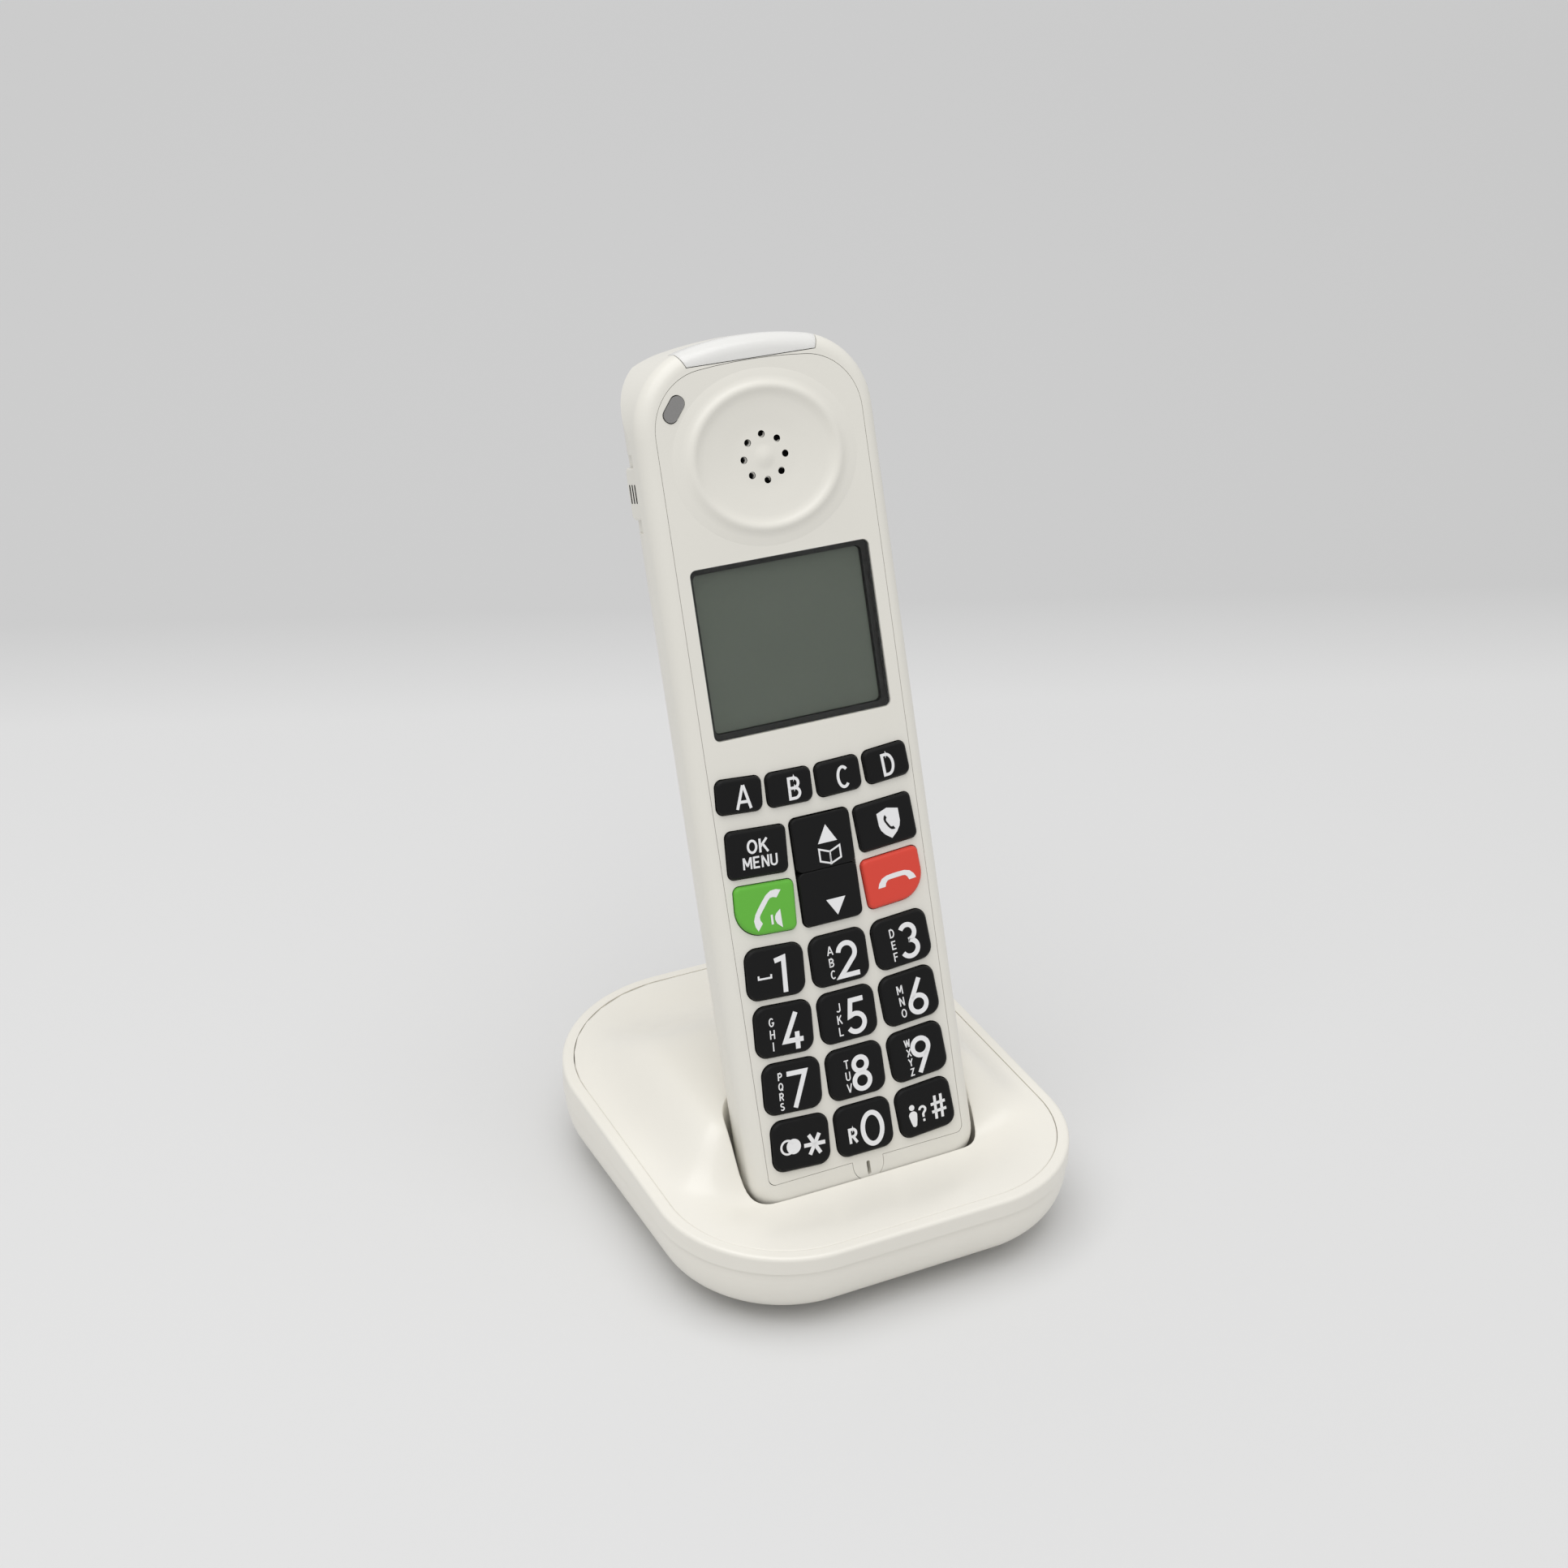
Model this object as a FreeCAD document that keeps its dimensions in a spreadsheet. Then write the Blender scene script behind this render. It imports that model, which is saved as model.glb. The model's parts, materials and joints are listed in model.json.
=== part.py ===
import FreeCAD, Part
import math
import os

import Sketcher
from FreeCAD import Placement, Rotation, Vector

# Big-button cordless telephone: a handset that leans back in a charging cradle.
# Row frame in millimetres: X to the right, Y to the back, Z up, origin on the table under the
# middle of the cradle. The handset has its own frame: x across, y along the handset from the
# centre of its lowest key row, z out of its front face.

SIZES = {
    # handset outside
    "handset_width": 52.0,
    "handset_top": 163.5,
    "handset_drop": 13.5,
    "handset_arch": 64.0,
    "top_corner": 16.0,
    "bottom_corner": 7.0,
    "front_round": 3.2,
    "split_depth": 5.5,
    "back_depth": 16.5,
    "back_top_round": 14.0,
    "back_bottom_round": 9.0,
    "shell_wall": 2.0,
    "lean_angle": 19.5,
    "seat_y": -26.1,
    "seat_z": 26.2,
    # fascia
    "fascia_width": 45.2,
    "fascia_top": 158.5,
    "fascia_drop": 6.9,
    "fascia_arch": 113.0,
    "fascia_corner": 12.0,
    "fascia_foot_corner": 1.6,
    "fascia_thick": 1.8,
    "fascia_gap": 0.1,
    "fascia_ledge": 0.55,
    "ledge_thick": 1.6,
    "tongue_width": 7.0,
    "tongue_drop": 11.4,
    "mic_slot_width": 0.8,
    "mic_slot_length": 3.0,
    "mic_drop": 8.9,
    # earpiece
    "ear_height": 139.2,
    "ear_ring_width": 32.0,
    "ear_ring_height": 27.8,
    "ear_ring_tube": 1.5,
    "ear_ring_sink": 0.6,
    "ear_dish_depth": 0.9,
    "ear_hole_radius": 0.7,
    "ear_hole_circle": 4.75,
    "ear_dome_radius": 6.0,
    "ear_dome_rise": 0.5,
    "speaker_radius": 11.0,
    "speaker_depth": 4.4,
    # screen
    "screen_width": 39.5,
    "screen_height": 34.2,
    "screen_middle": 102.4,
    "screen_corner": 1.2,
    "screen_gap": 0.15,
    "window_thick": 1.2,
    "window_sink": 0.3,
    "screen_rim": 1.6,
    "panel_thick": 1.6,
    "frame_lip": 1.0,
    # lamp pieces
    "bar_foot_width": 28.0,
    "bar_head_width": 35.0,
    "bar_gap": 0.15,
    "pill_width": 3.0,
    "pill_length": 5.6,
    "pill_across": -18.0,
    "pill_height": 151.2,
    "pill_tilt": -39.0,
    "pill_rise": 0.2,
    # keys
    "key_gap": 0.2,
    "key_rise": 1.0,
    "key_round": 0.5,
    "key_foot": 3.4,
    "key_travel": 0.8,
    "flange_reach": 0.5,
    "flange_thick": 0.8,
    "row_bend": 232.0,
    "digit_width": 12.9,
    "digit_height": 10.6,
    "digit_corner": 2.5,
    "digit_column": 14.5,
    "digit_row": 12.12,
    "memory_width": 10.0,
    "memory_height": 7.0,
    "memory_corner": 1.5,
    "memory_column": 11.09,
    "memory_row": 73.26,
    "soft_width": 13.2,
    "soft_height": 9.7,
    "soft_corner": 1.3,
    "soft_column": 14.6,
    "soft_row": 61.3,
    "call_height": 10.4,
    "call_row": 49.6,
    "call_sweep": 5.5,
    "rocker_height": 22.4,
    "rocker_row": 55.4,
    "rocker_gap": 0.3,
    "rocker_ear": 3.0,
    # handset inside
    "mat_thick": 0.8,
    "mat_top": 78.0,
    "board_thick": 1.6,
    "board_depth": 5.2,
    "board_gap": 1.4,
    "board_top": 122.0,
    "board_drop": 6.4,
    "mic_radius": 2.0,
    "mic_depth": 1.8,
    "antenna_length": 30.0,
    "antenna_width": 4.0,
    "antenna_thick": 0.4,
    "antenna_height": 116.0,
    "ringer_radius": 9.0,
    "ringer_depth": 3.4,
    "ringer_height": 108.0,
    "ringer_slot_length": 9.0,
    "ringer_slot_width": 1.2,
    "ringer_slot_pitch": 3.2,
    "cell_diameter": 10.5,
    "cell_length": 43.3,
    "cell_nub_radius": 1.9,
    "cell_nub_length": 1.2,
    "cell_gap": 0.2,
    "bay_foot": 22.0,
    "bay_floor": 1.0,
    "bay_side": 0.8,
    "contact_thick": 0.5,
    "contact_size": 7.0,
    "contact_spring_length": 3.0,
    "door_width": 29.0,
    "door_foot": 18.0,
    "door_head": 85.0,
    "door_thick": 1.6,
    "door_gap": 0.25,
    "door_frame": 1.6,
    "screw_radius": 1.0,
    "screw_head_radius": 2.0,
    "screw_head_depth": 1.4,
    "screw_gap": 0.15,
    "screw_column": 8.0,
    "screw_row": 80.2,
    "screw_boss": 1.9,
    "screw_bite": 2.4,
    "screw_sink": 5.0,
    # side controls
    "switch_middle": 135.8,
    "switch_depth": 8.6,
    "switch_slot_length": 15.6,
    "switch_slot_width": 6.0,
    "switch_slot_sink": 1.5,
    "switch_length": 10.4,
    "switch_width": 5.2,
    "switch_rise": -0.4,
    "switch_travel": 2.3,
    "side_key_depth": 8.2,
    "side_key_width": 4.4,
    "side_key_rise": 1.6,
    "side_key_gap": 0.3,
    "side_key_travel": 0.9,
    "volume_middle": 129.5,
    "volume_length": 23.0,
    "boost_middle": 101.5,
    "boost_length": 9.0,
    "side_key_root": 2.6,
    # cradle outside
    "cradle_width": 92.0,
    "cradle_depth": 106.0,
    "front_corner": 27.5,
    "back_corner": 34.0,
    "foot_height": 1.8,
    "foot_radius": 5.0,
    "foot_sink": 0.5,
    "foot_column": 26.0,
    "foot_row": 33.0,
    "base_round": 11.0,
    "base_inset": 0.4,
    "base_wall": 2.0,
    "base_floor": 1.8,
    "parting_height": 15.3,
    "rim_height": 20.6,
    "rim_tilt": 1.72,
    "rim_wall": 2.5,
    "rim_round": 0.8,
    "rim_shelf": 2.5,
    "rim_shelf_thick": 1.5,
    "cover_gap": 0.2,
    "cover_wall": 2.2,
    "cover_skirt": 1.6,
    "dish_depth": 3.2,
    "dish_reach": 0.4,
    "hump_height": 13.0,
    "hump_shoulder": 27.0,
    "hump_foot_front": -31.0,
    "hump_crest_front": -14.0,
    "hump_crest_back": 9.0,
    "hump_foot_back": 47.0,
    # cradle pocket and charging parts
    "pocket_side": 1.3,
    "pocket_gap": 0.4,
    "pocket_front_corner": 5.0,
    "pocket_back_corner": 17.5,
    "pocket_wall": 1.8,
    "pocket_reach": 60.0,
    "pin_column": 9.0,
    "pin_depth": 3.4,
    "pin_radius": 1.0,
    "pin_flange_radius": 1.7,
    "pin_flange_thick": 0.6,
    "pin_gap": 0.15,
    "pin_travel": 0.6,
    "pin_clear": 0.3,
    "spring_length": 2.6,
    "spring_wall": 0.35,
    "charge_board_length": 42.0,
    "charge_board_width": 6.4,
    "charge_board_thick": 1.2,
    "charge_post_column": 16.5,
    "charge_post_radius": 1.8,
    "plate_width": 5.0,
    "plate_height": 3.0,
    "plate_thick": 0.6,
    "plate_sink": 0.1,
    "socket_width": 12.0,
    "socket_depth": 12.0,
    "socket_height": 8.4,
    "socket_face": 48.4,
    "socket_mouth_width": 9.8,
    "socket_mouth_height": 6.2,
    "socket_mouth_depth": 9.5,
    "socket_gap": 0.2,
    "base_screw_front_column": 32.0,
    "base_screw_front_row": -16.0,
    "base_screw_back_column": 15.0,
    "base_screw_back_row": 36.0,
    "base_screw_radius": 1.2,
    "base_screw_length": 9.0,
    "base_screw_head_radius": 2.3,
    "base_screw_head_depth": 1.0,
    "base_post_radius": 2.6,
    "base_post_gap": 0.2,
}

DIGITS = ("star", "0", "hash", "7", "8", "9", "4", "5", "6", "1", "2", "3")
MEMORIES = ("a", "b", "c", "d")
FAR = 200.0
NEAR = 1e-4
HEIGHT_STEPS = 26
EAR_HOLES = 8
SLIVER = 0.02

doc = FreeCAD.newDocument("cordless_phone")
sheet = doc.addObject("Spreadsheet::Sheet", "Sizes")
for row, (alias, value) in enumerate(SIZES.items(), start=1):
    sheet.set(f"A{row}", alias.replace("_", " "))
    sheet.set(f"B{row}", str(value))
    sheet.setAlias(f"B{row}", alias)
doc.recompute()


class Length:
    """A number that carries the sheet expression it comes from."""

    def __init__(self, value, text):
        self.value = float(value)
        self.text = text

    def __add__(self, other):
        other = length(other)
        return Length(self.value + other.value, f"({self.text} + {other.text})")

    def __sub__(self, other):
        other = length(other)
        return Length(self.value - other.value, f"({self.text} - {other.text})")

    def __mul__(self, other):
        other = length(other)
        return Length(self.value * other.value, f"({self.text} * {other.text})")

    def __truediv__(self, other):
        other = length(other)
        return Length(self.value / other.value, f"({self.text} / {other.text})")

    def __neg__(self):
        return Length(-self.value, f"(0 - {self.text})")


def length(thing):
    if isinstance(thing, Length):
        return thing
    return Length(thing, f"({float(thing)})")


def size(alias):
    return Length(sheet.get(alias), f"Sizes.{alias}")


def bind(thing, name, value):
    thing.setExpression(name, length(value).text)


# Sketches and features

def new_body(name):
    return doc.addObject("PartDesign::Body", name)


def new_sketch(body, name, role="XY_Plane", spot=(0, 0, 0), turn=None):
    """A sketch on one of the body's planes, moved by spot and turned about its normal."""
    sketch = body.newObject("Sketcher::SketchObject", name)
    plane = next(item for item in body.Origin.OriginFeatures if item.Role == role)
    sketch.AttachmentSupport = [(plane, "")]
    sketch.MapMode = "FlatFace"
    spot = [length(part) for part in spot]
    angle = length(turn or 0)
    offset = Vector(*[part.value for part in spot])
    sketch.AttachmentOffset = Placement(offset, Rotation(Vector(0, 0, 1), angle.value))
    for axis, part in zip("xyz", spot):
        bind(sketch, f"AttachmentOffset.Base.{axis}", part)
    if turn is not None:
        bind(sketch, "AttachmentOffset.Rotation.Angle", angle)
    return sketch


def limit(sketch, kind, *places):
    """Adds a constraint whose last place is its size, bound to the sheet."""
    value = length(places[-1])
    index = sketch.addConstraint(Sketcher.Constraint(kind, *places[:-1], value.value))
    bind(sketch, f"Constraints[{index}]", value)


def join_tangent(sketch, pairs):
    for first, first_end, second, second_end in pairs:
        sketch.addConstraint(Sketcher.Constraint("Tangent", first, first_end, second, second_end))


def add_line(sketch, start, end):
    return sketch.addGeometry(Part.LineSegment(Vector(*start, 0), Vector(*end, 0)))


def add_arc(sketch, centre, radius, start, end):
    circle = Part.Circle(Vector(*centre, 0), Vector(0, 0, 1), radius)
    return sketch.addGeometry(Part.ArcOfCircle(circle, math.radians(start), math.radians(end)))


def rounded_quad(sketch, width, height, radii):
    """A rectangle about the sketch's origin, its corner radii clockwise from top left."""
    half_width = length(width) / 2
    half_height = length(height) / 2
    a, b = half_width.value, half_height.value
    radii = [length(radius) for radius in radii]
    tl, tr, br, bl = [radius.value for radius in radii]
    top = add_line(sketch, (tl - a, b), (a - tr, b))
    right = add_line(sketch, (a, b - tr), (a, br - b))
    bottom = add_line(sketch, (a - br, -b), (bl - a, -b))
    left = add_line(sketch, (-a, bl - b), (-a, b - tl))
    arc_tr = add_arc(sketch, (a - tr, b - tr), tr, 0, 90)
    arc_tl = add_arc(sketch, (tl - a, b - tl), tl, 90, 180)
    arc_bl = add_arc(sketch, (bl - a, bl - b), bl, 180, 270)
    arc_br = add_arc(sketch, (a - br, br - b), br, 270, 360)
    join_tangent(sketch, (
        (top, 2, arc_tr, 2), (right, 1, arc_tr, 1), (top, 1, arc_tl, 1), (left, 2, arc_tl, 2),
        (left, 1, arc_bl, 1), (bottom, 2, arc_bl, 2), (bottom, 1, arc_br, 1), (right, 2, arc_br, 2),
    ))
    for line in (top, bottom):
        sketch.addConstraint(Sketcher.Constraint("Horizontal", line))
    for line in (left, right):
        sketch.addConstraint(Sketcher.Constraint("Vertical", line))
    for arc, radius in zip((arc_tl, arc_tr, arc_br, arc_bl), radii):
        limit(sketch, "Radius", arc, radius)
    limit(sketch, "DistanceX", -1, 1, right, 1, half_width)
    limit(sketch, "DistanceX", left, 1, -1, 1, half_width)
    limit(sketch, "DistanceY", -1, 1, top, 1, half_height)
    limit(sketch, "DistanceY", bottom, 1, -1, 1, half_height)
    return sketch


def arched_outline(sketch, width, drop, top, arch, top_corner, foot_corner):
    """The handset's front outline: straight sides under an arched top with round shoulders."""
    half = length(width) / 2
    a, low, arch_r = half.value, -drop.value, arch.value
    rt, rf = length(top_corner).value, length(foot_corner).value
    centre_y = top.value - arch_r
    shoulder_y = centre_y + math.sqrt((arch_r - rt) ** 2 - (a - rt) ** 2)
    swing = math.degrees(math.atan2(shoulder_y - centre_y, a - rt))
    foot = add_line(sketch, (rf - a, low), (a - rf, low))
    arc_br = add_arc(sketch, (a - rf, low + rf), rf, 270, 360)
    right = add_line(sketch, (a, low + rf), (a, shoulder_y))
    arc_tr = add_arc(sketch, (a - rt, shoulder_y), rt, 0, swing)
    crown = add_arc(sketch, (0, centre_y), arch_r, swing, 180 - swing)
    arc_tl = add_arc(sketch, (rt - a, shoulder_y), rt, 180 - swing, 180)
    left = add_line(sketch, (-a, shoulder_y), (-a, low + rf))
    arc_bl = add_arc(sketch, (rf - a, low + rf), rf, 180, 270)
    chain = (foot, arc_br, right, arc_tr, crown, arc_tl, left, arc_bl)
    following = chain[1:] + chain[:1]
    join_tangent(sketch, [(first, 2, second, 1) for first, second in zip(chain, following)])
    sketch.addConstraint(Sketcher.Constraint("Horizontal", foot))
    for line in (left, right):
        sketch.addConstraint(Sketcher.Constraint("Vertical", line))
    for arc in (arc_br, arc_bl):
        limit(sketch, "Radius", arc, foot_corner)
    for arc in (arc_tr, arc_tl):
        limit(sketch, "Radius", arc, top_corner)
    limit(sketch, "Radius", crown, arch)
    sketch.addConstraint(Sketcher.Constraint("PointOnObject", crown, 3, -2))
    limit(sketch, "DistanceY", -1, 1, crown, 3, top - arch)
    limit(sketch, "DistanceX", -1, 1, right, 1, half)
    limit(sketch, "DistanceX", left, 1, -1, 1, half)
    limit(sketch, "DistanceY", foot, 1, -1, 1, drop)
    return sketch


def circle(sketch, radius, across=0, along=0):
    """A circle in the sketch, placed from the sketch's origin."""
    radius, across, along = length(radius), length(across), length(along)
    shape = Part.Circle(Vector(across.value, along.value, 0), Vector(0, 0, 1), radius.value)
    index = sketch.addGeometry(shape)
    limit(sketch, "Radius", index, radius)
    for kind, axis, part in (("DistanceX", -2, across), ("DistanceY", -1, along)):
        if abs(part.value) < NEAR:
            sketch.addConstraint(Sketcher.Constraint("PointOnObject", index, 3, axis))
        elif part.value > 0:
            limit(sketch, kind, -1, 1, index, 3, part)
        else:
            limit(sketch, kind, index, 3, -1, 1, -part)
    return sketch


def pad(body, sketch, depth, back=False):
    feature = body.newObject("PartDesign::Pad", f"{sketch.Name}_pad")
    feature.Profile = sketch
    feature.Reversed = back
    bind(feature, "Length", depth)
    return feature


def pocket(body, sketch, depth, back=False):
    feature = body.newObject("PartDesign::Pocket", f"{sketch.Name}_pocket")
    feature.Profile = sketch
    feature.Reversed = back
    bind(feature, "Length", depth)
    return feature


def round_edges(body, test, radius):
    """Fillets those edges of the body's last feature that pass the test."""
    doc.recompute()
    base = body.Tip
    names = [f"Edge{i}" for i, edge in enumerate(base.Shape.Edges, start=1) if test(edge)]
    feature = body.newObject("PartDesign::Fillet", f"{base.Name}_round")
    feature.Base = (base, names)
    bind(feature, "Radius", radius)
    return feature


def at_level(axis, level):
    """A test for edges that lie wholly at one level of an axis."""
    def test(edge):
        return all(abs(getattr(v.Point, axis) - level.value) < NEAR for v in edge.Vertexes)
    return test


def slab(body, name, width, height, low, high, radius, middle=(0, 0), turn=None):
    """A rounded plate in the body, from one depth to another along its z axis."""
    sketch = new_sketch(body, name, spot=(middle[0], middle[1], low), turn=turn)
    rounded_quad(sketch, width, height, [radius] * 4)
    return pad(body, sketch, high - low)


def opening(body, name, width, height, high, depth, radius, middle=(0, 0), turn=None):
    """A rounded opening cut downwards into the body from one level."""
    sketch = new_sketch(body, name, spot=(middle[0], middle[1], high), turn=turn)
    radii = radius if isinstance(radius, (list, tuple)) else [radius] * 4
    rounded_quad(sketch, width, height, radii)
    return pocket(body, sketch, depth)


def disc(body, name, radius, low, high, middle=(0, 0)):
    sketch = new_sketch(body, name, spot=(middle[0], middle[1], low))
    return pad(body, circle(sketch, radius), high - low)


def bore(body, name, radius, high, depth, middle=(0, 0)):
    sketch = new_sketch(body, name, spot=(middle[0], middle[1], high))
    return pocket(body, circle(sketch, radius), depth)


def combine(kind, name, shapes):
    feature = doc.addObject(kind, name)
    if kind == "Part::Compound":
        feature.Links = shapes
    else:
        feature.Shapes = shapes
    return feature


def common(name, shapes):
    return combine("Part::MultiCommon", name, shapes)


def fuse(name, shapes):
    return combine("Part::MultiFuse", name, shapes)


def cut(name, base, tool):
    feature = doc.addObject("Part::Cut", name)
    feature.Base = base
    feature.Tool = tool
    return feature


def box(name, low, high):
    """A block between two corners."""
    low = [length(part) for part in low]
    high = [length(part) for part in high]
    block = doc.addObject("Part::Box", name)
    for prop, axis, start, end in zip(("Length", "Width", "Height"), "xyz", low, high):
        bind(block, prop, end - start)
        bind(block, f"Placement.Base.{axis}", start)
    return block


def cylinder(name, radius, height, spot):
    """An upright cylinder that stands on its spot."""
    rod = doc.addObject("Part::Cylinder", name)
    bind(rod, "Radius", radius)
    bind(rod, "Height", height)
    for axis, part in zip("xyz", spot):
        bind(rod, f"Placement.Base.{axis}", part)
    return rod


parts = {}


def keep(thing, label):
    """Makes the object a sub-part of the telephone under its own label."""
    thing.Label = label
    parts[label] = thing
    return thing


def lean(thing):
    """Moves an object from the handset's frame to where the handset stands in the cradle."""
    angle = length(90) - size("lean_angle")
    place = Vector(0, size("seat_y").value, size("seat_z").value)
    thing.Placement = Placement(place, Rotation(Vector(1, 0, 0), angle.value))
    bind(thing, "Placement.Base.y", size("seat_y"))
    bind(thing, "Placement.Base.z", size("seat_z"))
    bind(thing, "Placement.Rotation.Angle", angle)
    return thing


def keep_on_handset(thing, label):
    return keep(lean(thing), label)


# Levels along the handset's front axis

SPLIT = -size("split_depth")
BACK = SPLIT - size("back_depth")
FASCIA_BACK = -size("fascia_thick")
RECESS_FLOOR = FASCIA_BACK - size("fascia_gap")
LEDGE_BACK = RECESS_FLOOR - size("ledge_thick")
BOARD_FRONT = -size("board_depth")
BOARD_BACK = BOARD_FRONT - size("board_thick")
BAY_FRONT = BOARD_BACK - size("cell_gap")
BAY_BACK = BAY_FRONT - size("bay_floor")
CELL_RADIUS = size("cell_diameter") / 2
CELL_COLUMN = CELL_RADIUS + size("cell_gap") * 2
CELL_DEPTH = BAY_BACK - size("cell_gap") - CELL_RADIUS
BAY_WIDTH = (CELL_COLUMN + CELL_RADIUS + size("bay_side")) * 2
CELL_FOOT = size("bay_foot") + size("contact_thick") + size("contact_spring_length")
CELL_HEAD = CELL_FOOT + size("cell_length") + size("cell_nub_length")
BAY_HEAD = CELL_HEAD + size("contact_thick") + size("cell_gap")
SCREW_LEVEL = BACK + size("screw_sink")
SCREW_TIP = BOARD_FRONT + size("screw_bite")


# Keys

def key_places():
    """Each key's name with its place, turn, outline size and corner radii."""
    bend = size("row_bend")
    places = {}

    def put(name, across, along, width, height, radii):
        lift = across * across / (bend * 2)
        turn = across / bend * math.degrees(1)
        places[name] = (across, along + lift, turn, width, height, radii)

    for index, name in enumerate(DIGITS):
        across = size("digit_column") * (index % 3 - 1)
        along = size("digit_row") * (index // 3)
        put(name, across, along, size("digit_width"), size("digit_height"), [size("digit_corner")] * 4)
    for index, name in enumerate(MEMORIES):
        across = size("memory_column") * (index - (len(MEMORIES) - 1) / 2)
        put(name, across, size("memory_row"), size("memory_width"), size("memory_height"),
            [size("memory_corner")] * 4)
    corner, sweep = size("soft_corner"), size("call_sweep")
    width, column = size("soft_width"), size("soft_column")
    put("menu", -column, size("soft_row"), width, size("soft_height"), [corner] * 4)
    put("shield", column, size("soft_row"), width, size("soft_height"), [corner] * 4)
    put("talk", -column, size("call_row"), width, size("call_height"), [corner, corner, corner, sweep])
    put("end", column, size("call_row"), width, size("call_height"), [corner, corner, sweep, corner])
    put("navigation", length(0), size("rocker_row"), width, size("rocker_height"), [corner] * 4)
    return places


KEYS = key_places()


def make_key(name):
    """A key cap that passes through the fascia and is kept in by a flange, or ears, behind it."""
    across, along, turn, width, height, radii = KEYS[name]
    body = new_body(f"key_{name}")
    cap = new_sketch(body, f"cap_{name}", spot=(across, along, -size("key_foot")), turn=turn)
    rounded_quad(cap, width, height, radii)
    pad(body, cap, size("key_foot") + size("key_rise"))
    round_edges(body, at_level("z", size("key_rise")), size("key_round"))
    flange_top = RECESS_FLOOR - size("key_gap")
    reach = size("flange_reach") * 2
    wide, tall = width, height + reach
    if name == "navigation":
        wide, tall = width + reach, size("rocker_ear")
    slab(body, f"flange_{name}", wide, tall, flange_top - size("flange_thick"), flange_top,
         size("key_round"), middle=(across, along), turn=turn)
    return keep_on_handset(body, f"key_{name}")


# Handset shells

def handset_outline(sketch, inset):
    return arched_outline(
        sketch, size("handset_width") - inset * 2, size("handset_drop") - inset,
        size("handset_top") - inset, size("handset_arch") - inset,
        size("top_corner") - inset, size("bottom_corner") - inset)


def fascia_outline(sketch, grow):
    return arched_outline(
        sketch, size("fascia_width") + grow * 2, size("fascia_drop") + grow,
        size("fascia_top") + grow, size("fascia_arch") + grow,
        size("fascia_corner") + grow, size("fascia_foot_corner"))


def tongue(body, name, low, high, grow, into):
    """The fascia's tongue that runs down the chin to the microphone slot."""
    tall = size("tongue_drop") - size("fascia_drop") + size("tongue_width")
    middle = (0, -size("tongue_drop") + tall / 2)
    if into:
        return opening(body, name, size("tongue_width") + grow * 2, tall + grow * 2, high, high - low,
                       size("tongue_width") / 2, middle=middle)
    return slab(body, name, size("tongue_width"), tall, low, high,
                size("tongue_width") / 2 - size("fascia_gap"), middle=middle)


def handset_front():
    """The front of the handset as one solid block with its rounded front edge."""
    body = new_body("handset_front_block")
    outline = handset_outline(new_sketch(body, "front_outline", spot=(0, 0, SPLIT)), length(0))
    pad(body, outline, -SPLIT)
    round_edges(body, at_level("z", length(0)), size("front_round"))
    return body


def bar_block(name, grow):
    """The tapered block that the light bar fills across the top of the handset."""
    body = new_body(name)
    sketch = new_sketch(body, f"{name}_outline", spot=(0, 0, SPLIT))
    foot = size("fascia_top") + size("bar_gap") * 2 - grow
    head = size("handset_top") + size("front_round")
    low_half = size("bar_foot_width") / 2 + grow
    high_half = size("bar_head_width") / 2 + grow
    corners = ((-low_half, foot), (low_half, foot), (high_half, head), (-high_half, head))
    lines = []
    for start, end in zip(corners, corners[1:] + corners[:1]):
        lines.append(add_line(sketch, [part.value for part in start], [part.value for part in end]))
    for first, second in zip(lines, lines[1:] + lines[:1]):
        sketch.addConstraint(Sketcher.Constraint("Coincident", first, 2, second, 1))
    for line, (across, along) in zip(lines, corners):
        if across.value < 0:
            limit(sketch, "DistanceX", line, 1, -1, 1, -across)
        else:
            limit(sketch, "DistanceX", -1, 1, line, 1, across)
        limit(sketch, "DistanceY", -1, 1, line, 1, along)
    pad(body, sketch, size("front_round") - SPLIT)
    return body


def make_front_housing():
    """Side band and chin: a frame with a recess for the fascia and an open inside."""
    body = new_body("front_frame")
    outline = handset_outline(new_sketch(body, "frame_outline", spot=(0, 0, SPLIT)), length(0))
    pad(body, outline, -SPLIT)
    round_edges(body, at_level("z", length(0)), size("front_round"))
    recess = fascia_outline(new_sketch(body, "recess"), size("fascia_gap"))
    pocket(body, recess, -RECESS_FLOOR)
    tongue(body, "tongue_recess", RECESS_FLOOR, length(0), size("fascia_gap"), True)
    ledge = fascia_outline(new_sketch(body, "ledge_opening", spot=(0, 0, RECESS_FLOOR)),
                           -size("fascia_ledge"))
    pocket(body, ledge, size("ledge_thick"))
    inside = handset_outline(new_sketch(body, "inside", spot=(0, 0, LEDGE_BACK)), size("shell_wall"))
    pocket(body, inside, LEDGE_BACK - SPLIT)
    bore(body, "mic_passage", size("mic_slot_width"), RECESS_FLOOR, size("ledge_thick"),
         middle=(0, -size("mic_drop")))
    plate_top = -size("handset_drop") + size("plate_sink") + size("plate_thick") + size("pin_clear")
    for side in (-1, 1):
        sketch = new_sketch(body, f"contact_seat_{'left' if side < 0 else 'right'}", "XZ_Plane",
                            spot=(size("pin_column") * side, -size("pin_depth"), size("handset_drop")))
        rounded_quad(sketch, size("plate_width"), size("plate_height"), [size("fascia_gap")] * 4)
        pocket(body, sketch, plate_top + size("handset_drop"))
    return keep_on_handset(cut("front_housing_cut", body, bar_block("bar_notch", size("bar_gap"))),
                           "front_housing")


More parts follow.
